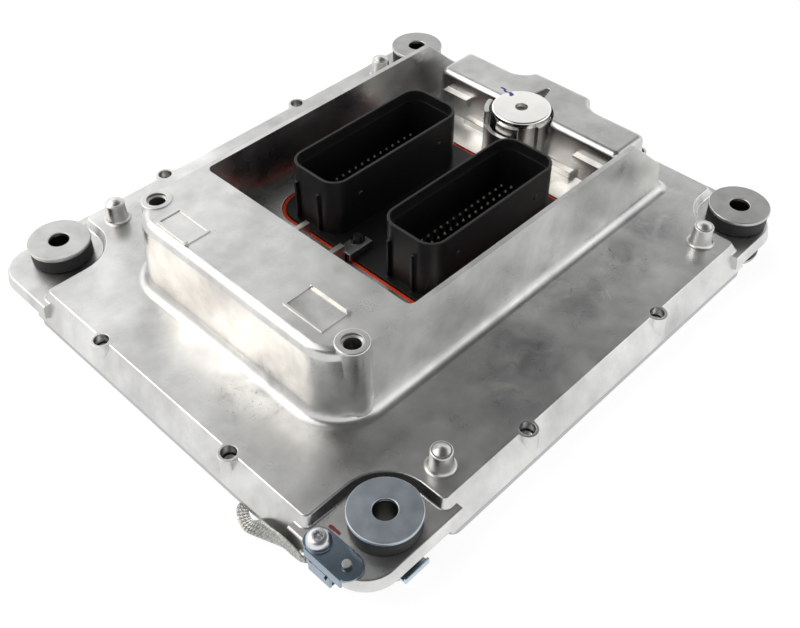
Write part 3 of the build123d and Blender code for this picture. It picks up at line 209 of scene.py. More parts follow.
@dataclass(frozen=True)
class CastAluminium(Finish):
    """Bare pressure-cast aluminium: soft clouds, smudges and hair cracks where the metal met."""

    dark: str = "b9b9b8"
    light: str = "e4e4e2"
    smudge: str = "84868a"
    crack: str = "4a4b4f"
    cloud_mm: float = 42.0
    mottle_mm: float = 8.0
    smudge_mm: float = 15.0
    crack_mm: float = 11.0
    crack_gap_mm: float = 5.0
    wave_mm: float = 13.0
    # How much the mottling adds to the clouds, and how much the waves rise over the grain
    mottle_share: float = 0.45
    wave_share: float = 6.0
    # Where the smudges and cracks are: x, y and reach in millimetres
    patches: tuple[tuple[float, float, float], ...] = (
        (-23.0, -87.0, 22.0),
        (17.0, -78.0, 20.0),
        (53.0, -82.0, 18.0),
        (-109.0, -24.0, 20.0),
        (-42.0, -91.0, 16.0),
        (80.0, -78.0, 16.0),
    )

    def worn(self, add: Callable[..., Socket], place: Socket) -> Socket:
        """Marks the patches of the deck that are smudged and cracked.

        Args:
            add: Adds a node to the material's tree.
            place: Object coordinates.

        Returns:
            A share that is 1 in the patches and 0 away from them.
        """
        total = 0.0
        for x, y, reach in self.patches:
            away = add("VectorMath", (place, (x * MM, y * MM, 0.02)), 1, operation="DISTANCE")
            share = add("MapRange", (away, reach * MM, reach * 0.3 * MM, 0.0, 1.0))
            total = add("Math", (total, share), operation="MAXIMUM")
        return total

    def smudges(self, add: Callable[..., Socket], place: Socket) -> Socket:
        """Draws blotches of dark smudge.

        Args:
            add: Adds a node to the material's tree.
            place: Object coordinates.

        Returns:
            The share of smudge over the whole casting.
        """
        stain = {"Vector": place, "Scale": per_mm(self.smudge_mm), "Detail": 4.0, "Distortion": 1.2}
        return add("MapRange", (add("TexNoise", stain), 0.42, 0.7, 0.0, 0.6))

    def cracks(self, add: Callable[..., Socket], place: Socket) -> Socket:
        """Draws winding hair cracks with gaps in them.

        Args:
            add: Adds a node to the material's tree.
            place: Object coordinates.

        Returns:
            The share of crack over the whole casting.
        """
        scale = per_mm(self.crack_mm)
        winding = {"Vector": place, "Scale": scale, "Detail": 3.0, "Distortion": 1.6}
        middle = add("Math", (add("TexNoise", winding), 0.5), operation="SUBTRACT")
        away = add("Math", (middle,), operation="ABSOLUTE")
        hair = add("MapRange", (away, 0.0085, 0.003, 0.0, 0.6))
        gaps = {"Vector": place, "Scale": per_mm(self.crack_gap_mm), "Detail": 2.0}
        broken = add("MapRange", (add("TexNoise", gaps), 0.46, 0.58, 0.0, 1.0))
        return add("Math", (hair, broken), operation="MULTIPLY")

    def pattern(self, add: Callable[..., Socket], place: Socket) -> tuple[Socket, Socket, Socket]:
        """Draws clouds, mottling, smudges, hair cracks and the casting's slight waves.

        Args:
            add: Adds a node to the material's tree.
            place: Object coordinates.

        Returns:
            Sockets of colour, roughness and height.
        """
        soft = {"Vector": place, "Scale": per_mm(self.cloud_mm), "Detail": 4.0, "Distortion": 0.6}
        fine = {"Vector": place, "Scale": per_mm(self.mottle_mm), "Detail": 5.0, "Roughness": 0.6}
        clouds, mottle = add("TexNoise", soft), add("TexNoise", fine)
        tone = add("Math", (mottle, self.mottle_share, clouds), operation="MULTIPLY_ADD")
        tone = add("MapRange", (tone, 0.5, 0.95, 0.0, 1.0))
        bare = {0: tone, 6: linear(self.dark), 7: linear(self.light)}
        colour = add("Mix", bare, 2, data_type="RGBA")
        worn = self.worn(add, place)
        marks = (self.smudges(add, place), self.smudge), (self.cracks(add, place), self.crack)
        for mark, mark_colour in marks:
            share = add("Math", (mark, worn), operation="MULTIPLY")
            layers = {0: share, 6: colour, 7: linear(mark_colour)}
            colour = add("Mix", layers, 2, data_type="RGBA")
        waves = {"Vector": place, "Scale": per_mm(self.wave_mm), "Detail": 1.0}
        grains = {"Vector": place, "Scale": per_mm(self.bump_grain_mm), "Detail": 2.0}
        wave, grain = add("TexNoise", waves), add("TexNoise", grains)
        # Only as fine as the waves, because finer detail in it shows as dark specks
        least, most = (self.roughness * share for share in ROUGH_SPREAD)
        rough = add("MapRange", (wave, 0.3, 0.7, least, most))
        height = add("Math", (wave, self.wave_share, grain), operation="MULTIPLY_ADD")
        return colour, rough, height


@dataclass(frozen=True)
class PlatedContact(Finish):
    """A plated contact pin, its point in the plating's own pale colour, with painted shade on the
    pin below it.
    """

    # Colour of the painted shade on the pin below its point, then the point's height
    shaft_shade: str = "2c291f"
    point_z: float = 35.1

    def pattern(self, add: Callable[..., Socket], place: Socket) -> tuple[Socket, Socket, Socket]:
        """Paints shade on the pin below its point, where the shroud's walls shade it.

        Args:
            add: Adds a node to the material's tree.
            place: Object coordinates.

        Returns:
            Sockets of colour, roughness and height.
        """
        colour, rough, height = super().pattern(add, place)
        level = add("SeparateXYZ", (place,), 2)
        # Painted shade: the pin is darkened below its point, as the shroud's walls shade it
        low = add("MapRange", (level, self.point_z * MM, (self.point_z - 0.4) * MM, 0.0, 1.0))
        colour = add("Mix", {0: low, 6: colour, 7: linear(self.shaft_shade)}, 2, data_type="RGBA")
        return colour, rough, height


# The pen stroke, on the low block and then on the vent disc above it
BLOCK_INK = Stroke((88.6, 19.6, 45.0), (85.2, 11.2, 46.3), 1.7, "2d2f8c", 0.95, 2.4)
DISC_INK = Stroke((84.3, 12.6, 48.1), (82.7, 9.3, 48.1), 1.9, "2d2f8c", 0.95, 1.6)


class Surface(Enum):
    """The finishes, each under the name of the record's slot that it dresses."""

    # Pressure die-cast aluminium, bare as it left the mould: soft satin grey with cloudy tones
    CAST_ALUMINIUM = CastAluminium(
        "die_cast_aluminium",
        "cfcfce",
        0.3,
        1.0,
        bump_mm=0.014,
        strokes=(
            BLOCK_INK,
            Stroke((-128.1, -88.1, 16.4), (-127.8, -92.6, 16.4), 1.2, "96202a", 0.9, 2.0),
            Stroke((-100.6, 6.0, 29.0), (-101.6, 6.9, 21.5), 0.7, "8d8a84", 0.7, 1.2),
            Stroke((30.7, -88.3, 20.2), (27.7, -93.1, 20.2), 0.45, "f4f4f4", 0.8),
            Stroke((28.6, -87.6, 20.2), (25.8, -91.0, 20.2), 0.35, "f4f4f4", 0.7),
        ),
    )
    # Cold-rolled aluminium sheet, mill finish: an even dull grey sheen
    COVER_SHEET = Finish("rolled_aluminium_sheet", "b8b9ba", 0.42, 1.0, 20.0, 0.08, 0.01, 1.5)
    # Die-cut cellular rubber: dead matt black
    GASKET_RUBBER = Finish("die_cut_rubber", "222222", 0.8)
    # Injection-moulded glass-filled nylon: near-black with a low fine sheen
    HEADER_PLASTIC = Finish(
        "moulded_glass_filled_nylon", "101112", 0.42, 0.0, 5.0, 0.15, 0.008, 0.35
    )
    # Moulded silicone rubber: saturated orange-red with a soft gloss
    SEAL_RUBBER = Finish("moulded_silicone_rubber", "f04a16", 0.45, 0.0, 4.0, 0.1, 0.01, 0.6)
    # Tin-plated bronze pin: pale plating at its point, with painted shade on the pin below the
    # point
    CONTACT_METAL = PlatedContact("tin_plated_bronze", "fbf4dc", 0.5, 1.0, 2.0, 0.05, 0.003, 0.3)
    # Turned and brushed stainless steel: a pale plate, nearly white where it faces the light
    VENT_PLATE = Finish(
        "turned_stainless_steel", "f8f7f4", 0.16, 1.0, 9.0, 0.04, 0.002, 0.8, strokes=(DISC_INK,)
    )
    # Expanded fluoropolymer film: matt off-white
    MEMBRANE_CLOTH = Finish("expanded_film", "dedcd4", 0.9, 0.0, 1.0, 0.05, 0.02, 0.3)
    # Stamped steel washer, clear zinc plated: even satin grey
    WASHER_ZINC = Finish("zinc_plated_washer", "bdbebc", 0.36, 1.0, 7.0, 0.12, 0.01, 0.5)
    # Stamped steel washer, blue zinc plated: the same satin with a cool cast
    WASHER_SLATE = Finish("blue_zinc_washer", "b4bdc5", 0.34, 1.0, 6.0, 0.12, 0.01, 0.5)
    # Turned steel sleeve, dulled by age: a dark bore with a faint ring
    SLEEVE_STEEL = Finish("turned_steel", "45433b", 0.4, 1.0, 3.0, 0.15, 0.01, 0.3)
    # Moulded natural rubber: matt black, faintly dusty
    GROMMET_RUBBER = Finish("moulded_rubber", "17181a", 0.62, 0.0, 5.0, 0.25, 0.02, 0.7)
    # Pressed steel, blue zinc plated: cool slate that turns pale on its folds
    CLAMP_ZINC = Finish("blue_zinc_pressing", "8a9aa8", 0.2, 1.0, 9.0, 0.08, 0.002, 1.2)
    # Cold-headed steel screw, clear zinc plated: bright silver
    SCREW_STEEL = Finish("zinc_plated_screw", "d8d9dc", 0.3, 1.0, 3.0, 0.06, 0.006, 0.4)
    # Drawn copper wire, tinned and braided: dull silver that sparkles strand by strand
    BRAID_TINNED = Finish("tinned_braid", "b9bab6", 0.42, 1.0, 1.2, 0.25, 0.01, 0.3)
    # Pressed copper lug, tinned: pale bluish silver
    TERMINAL_ZINC = Finish("tinned_copper", "c4d2dd", 0.3, 1.0, 5.0, 0.1, 0.01, 0.5)
    # Glass-fibre laminate under solder mask: satin green
    BOARD_LAMINATE = Finish("glass_fibre_laminate", "1d5a35", 0.5, 0.0, 3.0, 0.2, 0.01, 0.5)
    # Transfer-moulded epoxy: matt charcoal
    CHIP_MOULDING = Finish("moulded_epoxy", "222224", 0.55, 0.0, 2.0, 0.15, 0.01, 0.3)
    # Heat-shrunk plastic sleeve: dark blue with a soft gloss
    CAPACITOR_CAN = Finish("shrunk_sleeve", "20243a", 0.35, 0.0, 6.0, 0.1, 0.005, 0.8)
    # Pressed iron powder, coated: a dull brown-grey, slightly grainy
    COIL_CORE = Finish("pressed_powder_core", "5c5148", 0.6, 0.0, 2.0, 0.2, 0.03, 0.5)
    # Cast silicone gap filler: matt blue-grey
    PAD_SILICONE = Finish("cast_silicone", "a9adbd", 0.7, 0.0, 2.0, 0.08, 0.02, 0.5)
    # Cold-rolled spring steel: bright grey sheen
    CLIP_STEEL = Finish("rolled_spring_steel", "c4c4c6", 0.35, 1.0, 4.0, 0.1, 0.006, 0.4)


SLOTS = {part["node"]: part["material_slot"] for part in frame["record"]["subparts"]}


class Edge(Enum):
    """How far each kind of piece has its edges rounded, in millimetres."""

    CAST = 0.35
    MOULDED = 0.3
    PRESSED = 0.25
    HIDDEN = 0.0


def mark_creases(made: bmesh.types.BMesh, least: float = 40.0, broad: float = 100.0) -> None:
    """Marks the edges where the shading breaks.

    These are the sharp ones, and those round a corner that two broad faces share, because an
    average of both faces' normals there would show as a bright wedge.

    Args:
        made: The mesh.
        least: Angle between two faces from which their edge is sharp, in degrees.
        broad: Area from which a face counts as broad, in square millimetres.
    """
    made.normal_update()
    turn = math.radians(least)
    for edge in made.edges:
        edge.smooth = edge.calc_face_angle(math.pi) < turn
    wide = {face for face in made.faces if face.calc_area() > broad * MM**2}
    for corner in {corner for face in wide for corner in face.verts}:
        meeting = [face for face in corner.link_faces if face in wide]
        if any(face.normal.angle(meeting[0].normal) > turn for face in meeting[1:]):
            for edge in corner.link_edges:
                if wide.intersection(edge.link_faces):
                    edge.smooth = False


def link_piece(name: str, made: bmesh.types.BMesh, slot: str, *stands_for: str) -> bpy.types.Object:
    """Turns a built mesh into a smooth-shaded piece of the object.

    Args:
        name: The piece's name.
        made: Its mesh in the CAD frame, which is freed.
        slot: The record's material slot that it takes its finish from.
        *stands_for: The CAD nodes that it replaces.

    Returns:
        The piece, riding on the root body.
    """
    bmesh.ops.recalc_face_normals(made, faces=made.faces)
    mark_creases(made)
    for face in made.faces:
        face.smooth = True
    mesh = bpy.data.meshes.new(name)
    made.to_mesh(mesh)
    made.free()
    piece = bpy.data.objects.new(name, mesh)
    bpy.context.scene.collection.objects.link(piece)
    evened = piece.modifiers.new("evened", "WEIGHTED_NORMAL")
    evened.keep_sharp = True
    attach(piece, ROOT)
    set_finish(piece, slot)
    if stands_for:
        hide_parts(*stands_for)
    return piece


# Two corners of a line that turn less than this at their joint carry on the same smooth line
SMOOTH_TURN = math.radians(35.0)
# Edges that turn more than this are rounded
ROUNDED_TURN = math.radians(28.0)
# Free room that an edge needs beside it, in times of how far it is cut back
ROOM = 2.5
# Faces that turn less than this are one flat face
FLAT_TURN = math.radians(0.4)


def room_beside(edge: bmesh.types.BMEdge) -> float:
    """Measures how near another corner of its two faces comes to an edge.

    Args:
        edge: The edge. Corners that carry on along the same smooth line don't count.

    Returns:
        The distance in metres.
    """
    start, run = edge.verts[0].co, edge.verts[1].co - edge.verts[0].co
    if run.length < 0.001 * MM:
        return 0.0
    passed = set(edge.verts)
    for end, way in ((edge.verts[0], -run), (edge.verts[1], run)):
        for other in end.link_edges:
            far = other.other_vert(end)
            step = far.co - end.co
            if other is not edge and step.length and step.angle(way) < SMOOTH_TURN:
                passed.add(far)
    least = math.inf
    for corner in (corner for face in edge.link_faces for corner in face.verts):
        if corner not in passed:
            share = (corner.co - start).dot(run) / run.length_squared
            nearest = start + run * max(0.0, min(1.0, share))
            least = min(least, (corner.co - nearest).length)
    return least


def round_edges(made: bmesh.types.BMesh, size: float, ceiling: float) -> None:
    """Rounds the sharp edges of a mesh, the cramped ones less.

    Args:
        made: The mesh.
        size: How far the edges are cut back, in millimetres.
        ceiling: Height over which undersides are out of sight and left alone, in millimetres.
    """
    for share in (1.0, 0.35):
        offset = size * share * MM
        made.normal_update()
        sharp = [
            edge
            for edge in made.edges
            if not edge.tag and edge.is_manifold and edge.calc_face_angle() > ROUNDED_TURN
        ]
        seen = [
            edge
            for edge in sharp
            if min(vert.co.z for vert in edge.verts) < ceiling * MM
            or all(face.normal.z > -0.5 for face in edge.link_faces)
        ]
        cut = bmesh.ops.bevel(
            made,
            geom=[edge for edge in seen if room_beside(edge) > ROOM * offset],
            offset=offset,
            segments=2,
            profile=0.5,
            affect="EDGES",
            clamp_overlap=False,
            material=-1,
        )
        for edge in (edge for face in cut["faces"] for edge in face.edges):
            edge.tag = True


@dataclass
class SubAssembly:
    """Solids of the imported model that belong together."""

    nodes: tuple[str, ...]
    edge: Edge = Edge.HIDDEN
    # Height over which undersides are out of sight, in millimetres
    ceiling: float = 100.0

    def mesh(self) -> list[bpy.types.Object]:
        """Cuts a copy of each solid with rounded edges, so that they catch the light.

        Returns:
            The new pieces. There are none where the solids are out of sight.
        """
        if self.edge is Edge.HIDDEN:
            return []
        return [self.recut(name) for name in self.nodes]

    def recut(self, name: str) -> bpy.types.Object:
        """Merges one solid's loose triangles, clears its flat faces and rounds its edges.

        Args:
            name: The solid's node.

        Returns:
            The new piece, which replaces the node.
        """
        made = bmesh.new()
        made.from_mesh(frame["nodes"][name].data)
        bmesh.ops.remove_doubles(made, verts=made.verts, dist=0.002 * MM)
        bmesh.ops.dissolve_limit(made, angle_limit=FLAT_TURN, verts=made.verts, edges=made.edges)
        round_edges(made, self.edge.value, self.ceiling)
        return link_piece(f"{name}_cut", made, SLOTS[name], name)

    def dress(
        self, pieces: list[bpy.types.Object], materials: dict[str, bpy.types.Material]
    ) -> None:
        """Gives the solids and their pieces their finishes.

        Args:
            pieces: What mesh() made.
            materials: Each finish's material, by its slot.
        """
        for name in self.nodes:
            data = frame["nodes"][name].data
            data.materials.clear()
            data.materials.append(materials[SLOTS[name]])
        for piece in pieces:
            piece.data.materials.append(materials[piece["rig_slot"]])


@dataclass
class CastDetails(SubAssembly):
    """Small forms of the casting: domed post tops and the arm that ends round the snap post."""

    post: tuple[float, float, float] = (84.7, 100.0, 29.5)
    dome_r: float = 3.3
    dome_h: float = 1.1
    dome_sink: float = 0.01
    dome_steps: tuple[int, int] = (6, 36)
    arm_x: tuple[float, float] = (-35.2, -21.5)
    arm_y: tuple[float, float] = (-1.5, 5.9)
    arm_z: tuple[float, float] = (24.7, 28.3)
    slot_at: tuple[float, float] = (-25.5, 3.5)
    slot_r: float = 3.1
    slot_steps: int = 24

    def mesh(self) -> list[bpy.types.Object]:
        """Builds the domes and the arm.

        Returns:
            The new pieces.
        """
        x, y, top = self.post
        corners = [(side * x, end * y) for side in (-1, 1) for end in (-1, 1)]
        return [self.dome(number, *at, top) for number, at in enumerate(corners, 1)] + [self.arm()]

    def dome(self, number: int, x: float, y: float, z: float) -> bpy.types.Object:
        """Turns the low dome on one post's top.

        Args:
            number: The post's number.
            x: Its place along X in millimetres.
            y: Its place along Y.
            z: Height of its flat top.

        Returns:
            The dome.
        """
        made = bmesh.new()
        rings, turns = self.dome_steps
        line = []
        for share in (k / rings for k in range(rings + 1)):
            height = z + self.dome_h * (1 - share**2) - self.dome_sink
            line.append(made.verts.new(Vector((x + self.dome_r * share, y, height)) * MM))
        edges = [made.edges.new(pair) for pair in zip(line, line[1:])]
        bmesh.ops.spin(
            made,
            geom=line + edges,
            cent=Vector((x, y, z)) * MM,
            axis=(0.0, 0.0, 1.0),
            dvec=(0.0, 0.0, 0.0),
            angle=math.tau,
            steps=turns,
            use_merge=True,
        )
        bmesh.ops.remove_doubles(made, verts=made.verts, dist=0.001 * MM)
        return link_piece(f"post_dome_{number}", made, "cast_aluminium")

    def arm(self) -> bpy.types.Object:
        """Cuts the short arm with the round slot that the header's snap post stands in.

        Returns:
            The arm.
        """
        (left, right), (near, far) = self.arm_x, self.arm_y
        cx, cy = self.slot_at
        lean = math.asin((far - cy) / self.slot_r)
        steps = self.slot_steps
        turns = [lean - k / steps * (math.pi + 2 * lean) for k in range(steps + 1)]
        slot = [(cx + self.slot_r * math.cos(t), cy + self.slot_r * math.sin(t)) for t in turns]
        outline = [(left, near), (right, near), (right, far), *slot, (left, far)]
        low, high = self.arm_z
        made = bmesh.new()
        corners = [made.verts.new(Vector((x, y, low)) * MM) for x, y in outline]
        base = made.faces.new(corners)
        grown = bmesh.ops.extrude_face_region(made, geom=[base])["geom"]
        raised = [item for item in grown if isinstance(item, bmesh.types.BMVert)]
        bmesh.ops.translate(made, verts=raised, vec=(0.0, 0.0, (high - low) * MM))
        bmesh.ops.recalc_face_normals(made, faces=made.faces)
        round_edges(made, self.edge.value, self.ceiling)
        return link_piece("slotted_arm", made, "cast_aluminium")


def smooth_between(p: float, q: float, r: float, s: float, share: float) -> float:
    """Reads the smooth curve that runs through four values.

    Args:
        p: The first value.
        q: The second, where the share is 0.
        r: The third, where the share is 1.
        s: The fourth.
        share: How far along it is read.

    Returns:
        The value there.
    """
    bend = (2 * p - 5 * q + 4 * r - s) * share**2
    twist = (3 * q - p - 3 * r + s) * share**3
    return 0.5 * (2 * q + (r - p) * share + bend + twist)


@dataclass
class EarthStrap(SubAssembly):
    """Clamp, screw and terminal with the woven braid between them."""

    braid: str = "ground_strap"
    thickness: float = 1.5
    yarns: int = 10
    wires: int = 3
    wire: float = 0.36
    pitch: float = 15.0
    step: float = 0.45
    # Share of a yarn's room that its wires fill, and of a wire's radius that it rises in weaving
    fill: float = 0.75
    weave_rise: float = 0.9
    # How squarely the flat tube turns at its edges, and the gap between its two layers' wires
    squareness: float = 1.6
    layer_gap: float = 0.02
    # Place x, y, z, then the width, the lean and the heading
    stations: tuple[tuple[float, ...], ...] = (
        (-139.1, -100.5, 8.9, 3.7, 0.0, 0.0),
        (-139.1, -95.0, 8.9, 3.7, 0.0, 0.0),
        (-139.1, -90.0, 8.9, 3.7, 0.0, 0.0),
        (-139.9, -88.2, 8.9, 3.8, 0.0, 0.0),
        (-140.8, -86.6, 9.0, 3.9, 0.0, 0.0),
        (-141.1, -82.4, 9.9, 7.6, -2.0, 0.0),
        (-141.3, -77.4, 10.1, 8.8, -4.0, 0.0),
        (-142.0, -71.0, 8.6, 8.4, 8.0, 0.0),
        (-142.6, -65.5, 6.9, 7.4, 28.0, 4.0),
        (-143.0, -61.5, 4.7, 5.8, 60.0, 10.0),
        (-142.9, -58.8, 3.8, 5.0, 82.0, 20.0),
        (-142.0, -56.0, 3.35, 4.8, 90.0, 30.0),
        (-140.3, -53.3, 3.35, 4.8, 90.0, 45.0),
        (-137.5, -52.35, 3.35, 4.8, 90.0, 86.0),
        (-128.0, -51.8, 3.35, 4.8, 90.0, 87.0),
        (-117.6, -51.3, 3.35, 4.8, 90.0, 90.0),
        (-114.8, -52.2, 3.35, 4.8, 90.0, 140.0),
        (-114.0, -55.0, 3.35, 4.8, 90.0, 180.0),
        (-114.0, -70.0, 3.35, 4.8, 90.0, 180.0),
        (-114.0, -84.8, 3.35, 4.8, 90.0, 180.0),
    )

    def path(self) -> list[tuple[Vector, Vector, float]]:
        """Smooths the stations.

        Returns:
            Place, direction across the ribbon and width, about every step.
        """
        rows = [self.stations[0], *self.stations, self.stations[-1]]
        out = []
        for a, b, c, d in zip(rows, rows[1:], rows[2:], rows[3:]):
            span = (Vector(c[:3]) - Vector(b[:3])).length
            count = max(1, round(span / self.step))
            for k in range(count):
                row = [smooth_between(*values, k / count) for values in zip(a, b, c, d)]
                lean, heading = math.radians(row[4]), math.radians(row[5])
                inward = Vector((math.cos(heading), -math.sin(heading), 0.0))
                across = Vector((0.0, 0.0, math.cos(lean))) + inward * math.sin(lean)
                out.append((Vector(row[:3]), across, row[3]))
        return out

    def weave(self) -> bpy.types.Object:
        """Weaves the braid: bundles of wires that cross over and under each other.

        Returns:
            The braid as one piece in place of the solid ribbon.
        """
        made = bmesh.new()
        path = self.path()
        ways = [0.0]
        for (p, _, _), (q, _, _) in zip(path, path[1:]):
            ways.append(ways[-1] + (q - p).length)
        between_yarns = math.tau / self.yarns
        between_wires = self.fill * between_yarns / self.wires
        for hand in (-1, 1):
            for yarn in range(self.yarns):
                for wire in range(self.wires):
                    off_middle = wire - (self.wires - 1) / 2
                    start = between_yarns * yarn + between_wires * off_middle
                    self.sweep(made, self.strand(path, ways, hand, start))
        return link_piece("woven_braid", made, SLOTS[self.braid], self.braid)

    def strand(
        self, path: list[tuple[Vector, Vector, float]], ways: list[float], hand: int, start: float
    ) -> list[tuple[Vector, Vector]]:
        """Runs one wire round the flat tube.

        Args:
            path: What path() gives.
            ways: The way along the path at each of its places.
            hand: 1 or -1, the sense in which it winds.
            start: Its angle round the tube at the path's start.

        Returns:
            The wire's places, each with the tube's outward direction there.
        """
        out = []
        for number, (place, across, width) in enumerate(path):
            after = path[min(number + 1, len(path) - 1)][0]
            before = path[max(number - 1, 0)][0]
            ahead = (after - before).normalized()
            outward = across.cross(ahead).normalized()
            turned = math.tau * ways[number] / self.pitch
            angle = start + hand * turned
            rise = hand * math.cos(self.yarns * turned)
            half_w = width / 2 - self.wire / 2
            half_t = self.thickness / 2 - self.wire - self.layer_gap
            lift = half_t + self.wire / 2 * rise * self.weave_rise
            side = math.sin(angle)
            flat = math.copysign(min(1.0, abs(side) * self.squareness), side)
            out.append((place + across * half_w * math.cos(angle) + outward * lift * flat, outward))
        return out

    def sweep(
        self, made: bmesh.types.BMesh, line: list[tuple[Vector, Vector]], sides: int = 5
    ) -> None:
        """Sweeps a round wire along a line and closes its ends.

        Args:
            made: The mesh that it is added to.
            line: The wire's places, each with the strap's outward direction.
            sides: How many sides the wire has.
        """
        rings = []
        turns = [math.tau * k / sides for k in range(sides)]
        for number, (place, outward) in enumerate(line):
            after, before = line[min(number + 1, len(line) - 1)][0], line[max(number - 1, 0)][0]
            ahead = (after - before).normalized()
            side = ahead.cross(outward).normalized()
            up = side.cross(ahead)
            spokes = [side * math.cos(turn) + up * math.sin(turn) for turn in turns]
            ring = [made.verts.new((place + spoke * self.wire / 2) * MM) for spoke in spokes]
            rings.append(ring)
        for first, second in zip(rings, rings[1:]):
            for k in range(sides):
                after = (k + 1) % sides
                made.faces.new((first[k], first[after], second[after], second[k]))
        made.faces.new(rings[0][::-1])
        made.faces.new(rings[-1])

    def mesh(self) -> list[bpy.types.Object]:
        """Recuts the pressed pieces and weaves the braid.

        Returns:
            The new pieces.
        """
        return [self.recut(name) for name in self.nodes if name != self.braid] + [self.weave()]


@dataclass(frozen=True)
class Lamp:
    """A soft lamp that faces the object."""

    name: str
    azimuth: float
    elevation: float
    width: float
    height: float
    brightness: float
    colour: str
    distance: float = 1.6

    def hang(self) -> None:
        """Hangs the lamp so that its face is as bright as written, with white as 1."""
        data = bpy.data.lights.new(self.name, "AREA")
        data.shape = "RECTANGLE"
        data.size = self.width
        data.size_y = self.height
        data.energy = self.brightness * math.pi * self.width * self.height
        data.color = linear(self.colour)[:3]
        lamp = bpy.data.objects.new(self.name, data)
        bpy.context.scene.collection.objects.link(lamp)
        turn, rise = math.radians(self.azimuth), math.radians(self.elevation)
        level = math.cos(rise)
        away = Vector((level * math.cos(turn), level * math.sin(turn), math.sin(rise)))
        lamp.location = away * self.distance
        lamp.rotation_mode = "QUATERNION"
        lamp.rotation_quaternion = away.to_track_quat("Z", "Y")


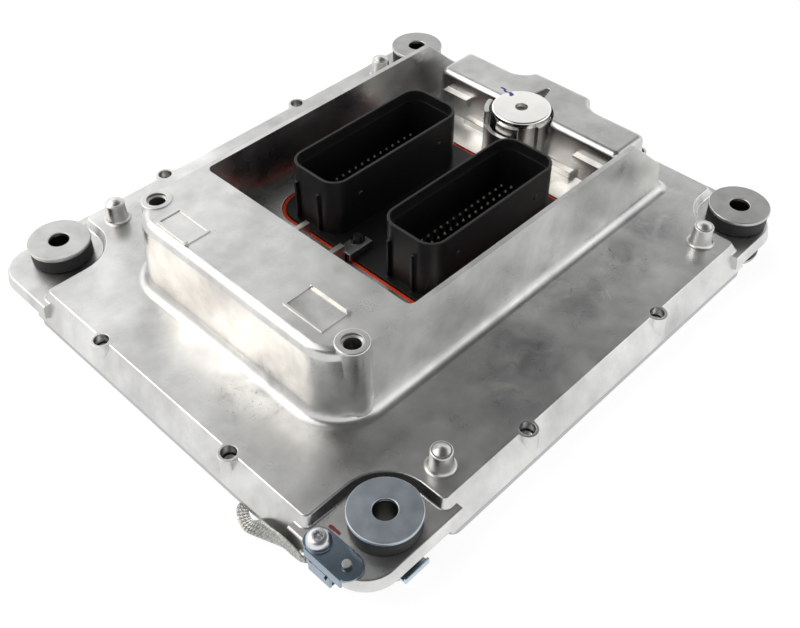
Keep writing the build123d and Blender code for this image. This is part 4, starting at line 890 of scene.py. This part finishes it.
@dataclass
class Studio:
    """Floor, lamps and the camera at the photograph's viewing angle."""

    place_mm: tuple[float, float, float] = (-250.0, -242.7, 314.5)
    right: tuple[float, float, float] = (0.69773, -0.71634, -0.00531)
    up: tuple[float, float, float] = (0.50864, 0.49018, 0.70782)
    back: tuple[float, float, float] = (-0.50444, -0.49657, 0.70637)
    lens: float = 45.51
    sensor: float = 36.0
    floor_size: float = 8.0
    floor_colour: str = "f2f2f2"
    # How bright the floor shows itself to the camera and in metal, and how much of that is mixed in
    floor_glow: float = 1.18
    floor_share: float = 0.75
    # Sine of the height where the world starts and ends to dim, then its brightness there
    dusk: tuple[float, float, float, float] = (0.52, 0.7, 1.07, 0.1)
    lamps: tuple[Lamp, ...] = (
        Lamp("window", 81.0, 37.5, 1.22, 1.54, 0.58, "ffffff"),
        Lamp("high", 129.5, 56.5, 1.5, 0.9, 1.6, "ffffff"),
        Lamp("warm", 131.0, 38.0, 1.0, 0.9, 1.65, "fff2e4"),
        Lamp("side", -42.0, 36.0, 1.1, 0.9, 0.45, "ffffff"),
    )

    def camera(self) -> None:
        """Places the camera that the photograph was solved for."""
        data = bpy.data.cameras.new("camera")
        data.lens = self.lens
        data.sensor_width = self.sensor
        data.clip_start = 0.01
        camera = bpy.data.objects.new("camera", data)
        bpy.context.scene.collection.objects.link(camera)
        turn = Matrix((self.right, self.up, self.back)).transposed().to_4x4()
        camera.matrix_world = Matrix.Translation(Vector(self.place_mm) * MM) @ turn
        bpy.context.scene.camera = camera

    def floor(self) -> None:
        """Lays a pale floor that stays white to the eye but keeps the object's shadow."""
        mesh = bpy.data.meshes.new("floor")
        made = bmesh.new()
        bmesh.ops.create_grid(made, x_segments=1, y_segments=1, size=self.floor_size / 2)
        made.to_mesh(mesh)
        made.free()
        floor = bpy.data.objects.new("floor", mesh)
        bpy.context.scene.collection.objects.link(floor)
        material = bpy.data.materials.new("pale_floor")
        material.use_nodes = True
        tree = material.node_tree
        shader = tree.nodes["Principled BSDF"]
        shader.inputs["Base Color"].default_value = linear(self.floor_colour)
        shader.inputs["Roughness"].default_value = 0.9
        add = partial(add_node, tree)
        glow = add("Emission", {"Color": linear("ffffff"), "Strength": self.floor_glow})
        rays = tuple(add("LightPath", output=name) for name in ("Is Camera Ray", "Is Glossy Ray"))
        seen = add("Math", rays, operation="MAXIMUM")
        share = add("Math", (seen, self.floor_share), operation="MULTIPLY")
        mix = add("MixShader", (share, shader.outputs[0], glow))
        tree.links.new(mix, tree.nodes["Material Output"].inputs["Surface"])
        mesh.materials.append(material)

    def light(self) -> None:
        """Hangs the lamps and sets a world that is white round the horizon and dim overhead."""
        world = bpy.data.worlds.new("studio")
        bpy.context.scene.world = world
        world.use_nodes = True
        tree = world.node_tree
        add = partial(add_node, tree)
        height = add("SeparateXYZ", (add("TexCoord", output="Generated"),), 2)
        dim = add("MapRange", (height, *self.dusk))
        around = add("Background", {"Color": linear("ffffff"), "Strength": dim})
        seen = add("Background", {"Color": linear("ffffff"), "Strength": 1.0})
        mix = add("MixShader", (add("LightPath", output="Is Camera Ray"), around, seen))
        tree.links.new(mix, tree.nodes["World Output"].inputs["Surface"])
        for lamp in self.lamps:
            lamp.hang()


def sub_assemblies() -> list[SubAssembly]:
    """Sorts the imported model's solids into sub-assemblies.

    Returns:
        The sub-assemblies, with every solid in one of them.
    """
    ring = ("upper_washer", "lower_washer", "sleeve")
    rubber = ("upper_grommet", "lower_grommet")
    corners = range(1, 5)
    return [
        SubAssembly(("top_housing",), Edge.CAST, 12.0),
        CastDetails((), Edge.CAST),
        SubAssembly(("base_cover", "cover_screws", "vent_cap"), Edge.PRESSED),
        SubAssembly(("connector_header", "header_seal"), Edge.MOULDED),
        SubAssembly(tuple(f"{part}_{n}" for part in ring for n in corners), Edge.PRESSED),
        SubAssembly(tuple(f"{part}_{n}" for part in rubber for n in corners), Edge.MOULDED),
        EarthStrap(("strap_clamp", "strap_screw", "strap_terminal", "ground_strap"), Edge.PRESSED),
        SubAssembly(
            (
                "cover_gasket",
                "contact_pins_near",
                "contact_pins_far",
                "vent_membrane",
                "circuit_board",
                "board_screws",
                "processor",
                "thermal_pad",
                "memory_chip",
                "driver_chips",
                "storage_capacitors",
                "storage_coil",
                "power_transistors",
                "transistor_clip",
                "pressure_sensor",
            )
        ),
    ]


def main() -> None:
    """Builds the studio and dresses the object."""
    logging.basicConfig(level=logging.INFO, format="%(message)s")
    bpy.context.scene.view_settings.view_transform = "Standard"
    studio = Studio()
    studio.camera()
    studio.floor()
    studio.light()
    materials = {surface.name.lower(): surface.value.build() for surface in Surface}
    for part in sub_assemblies():
        part.dress(part.mesh(), materials)


if __name__ == "__main__":
    main()
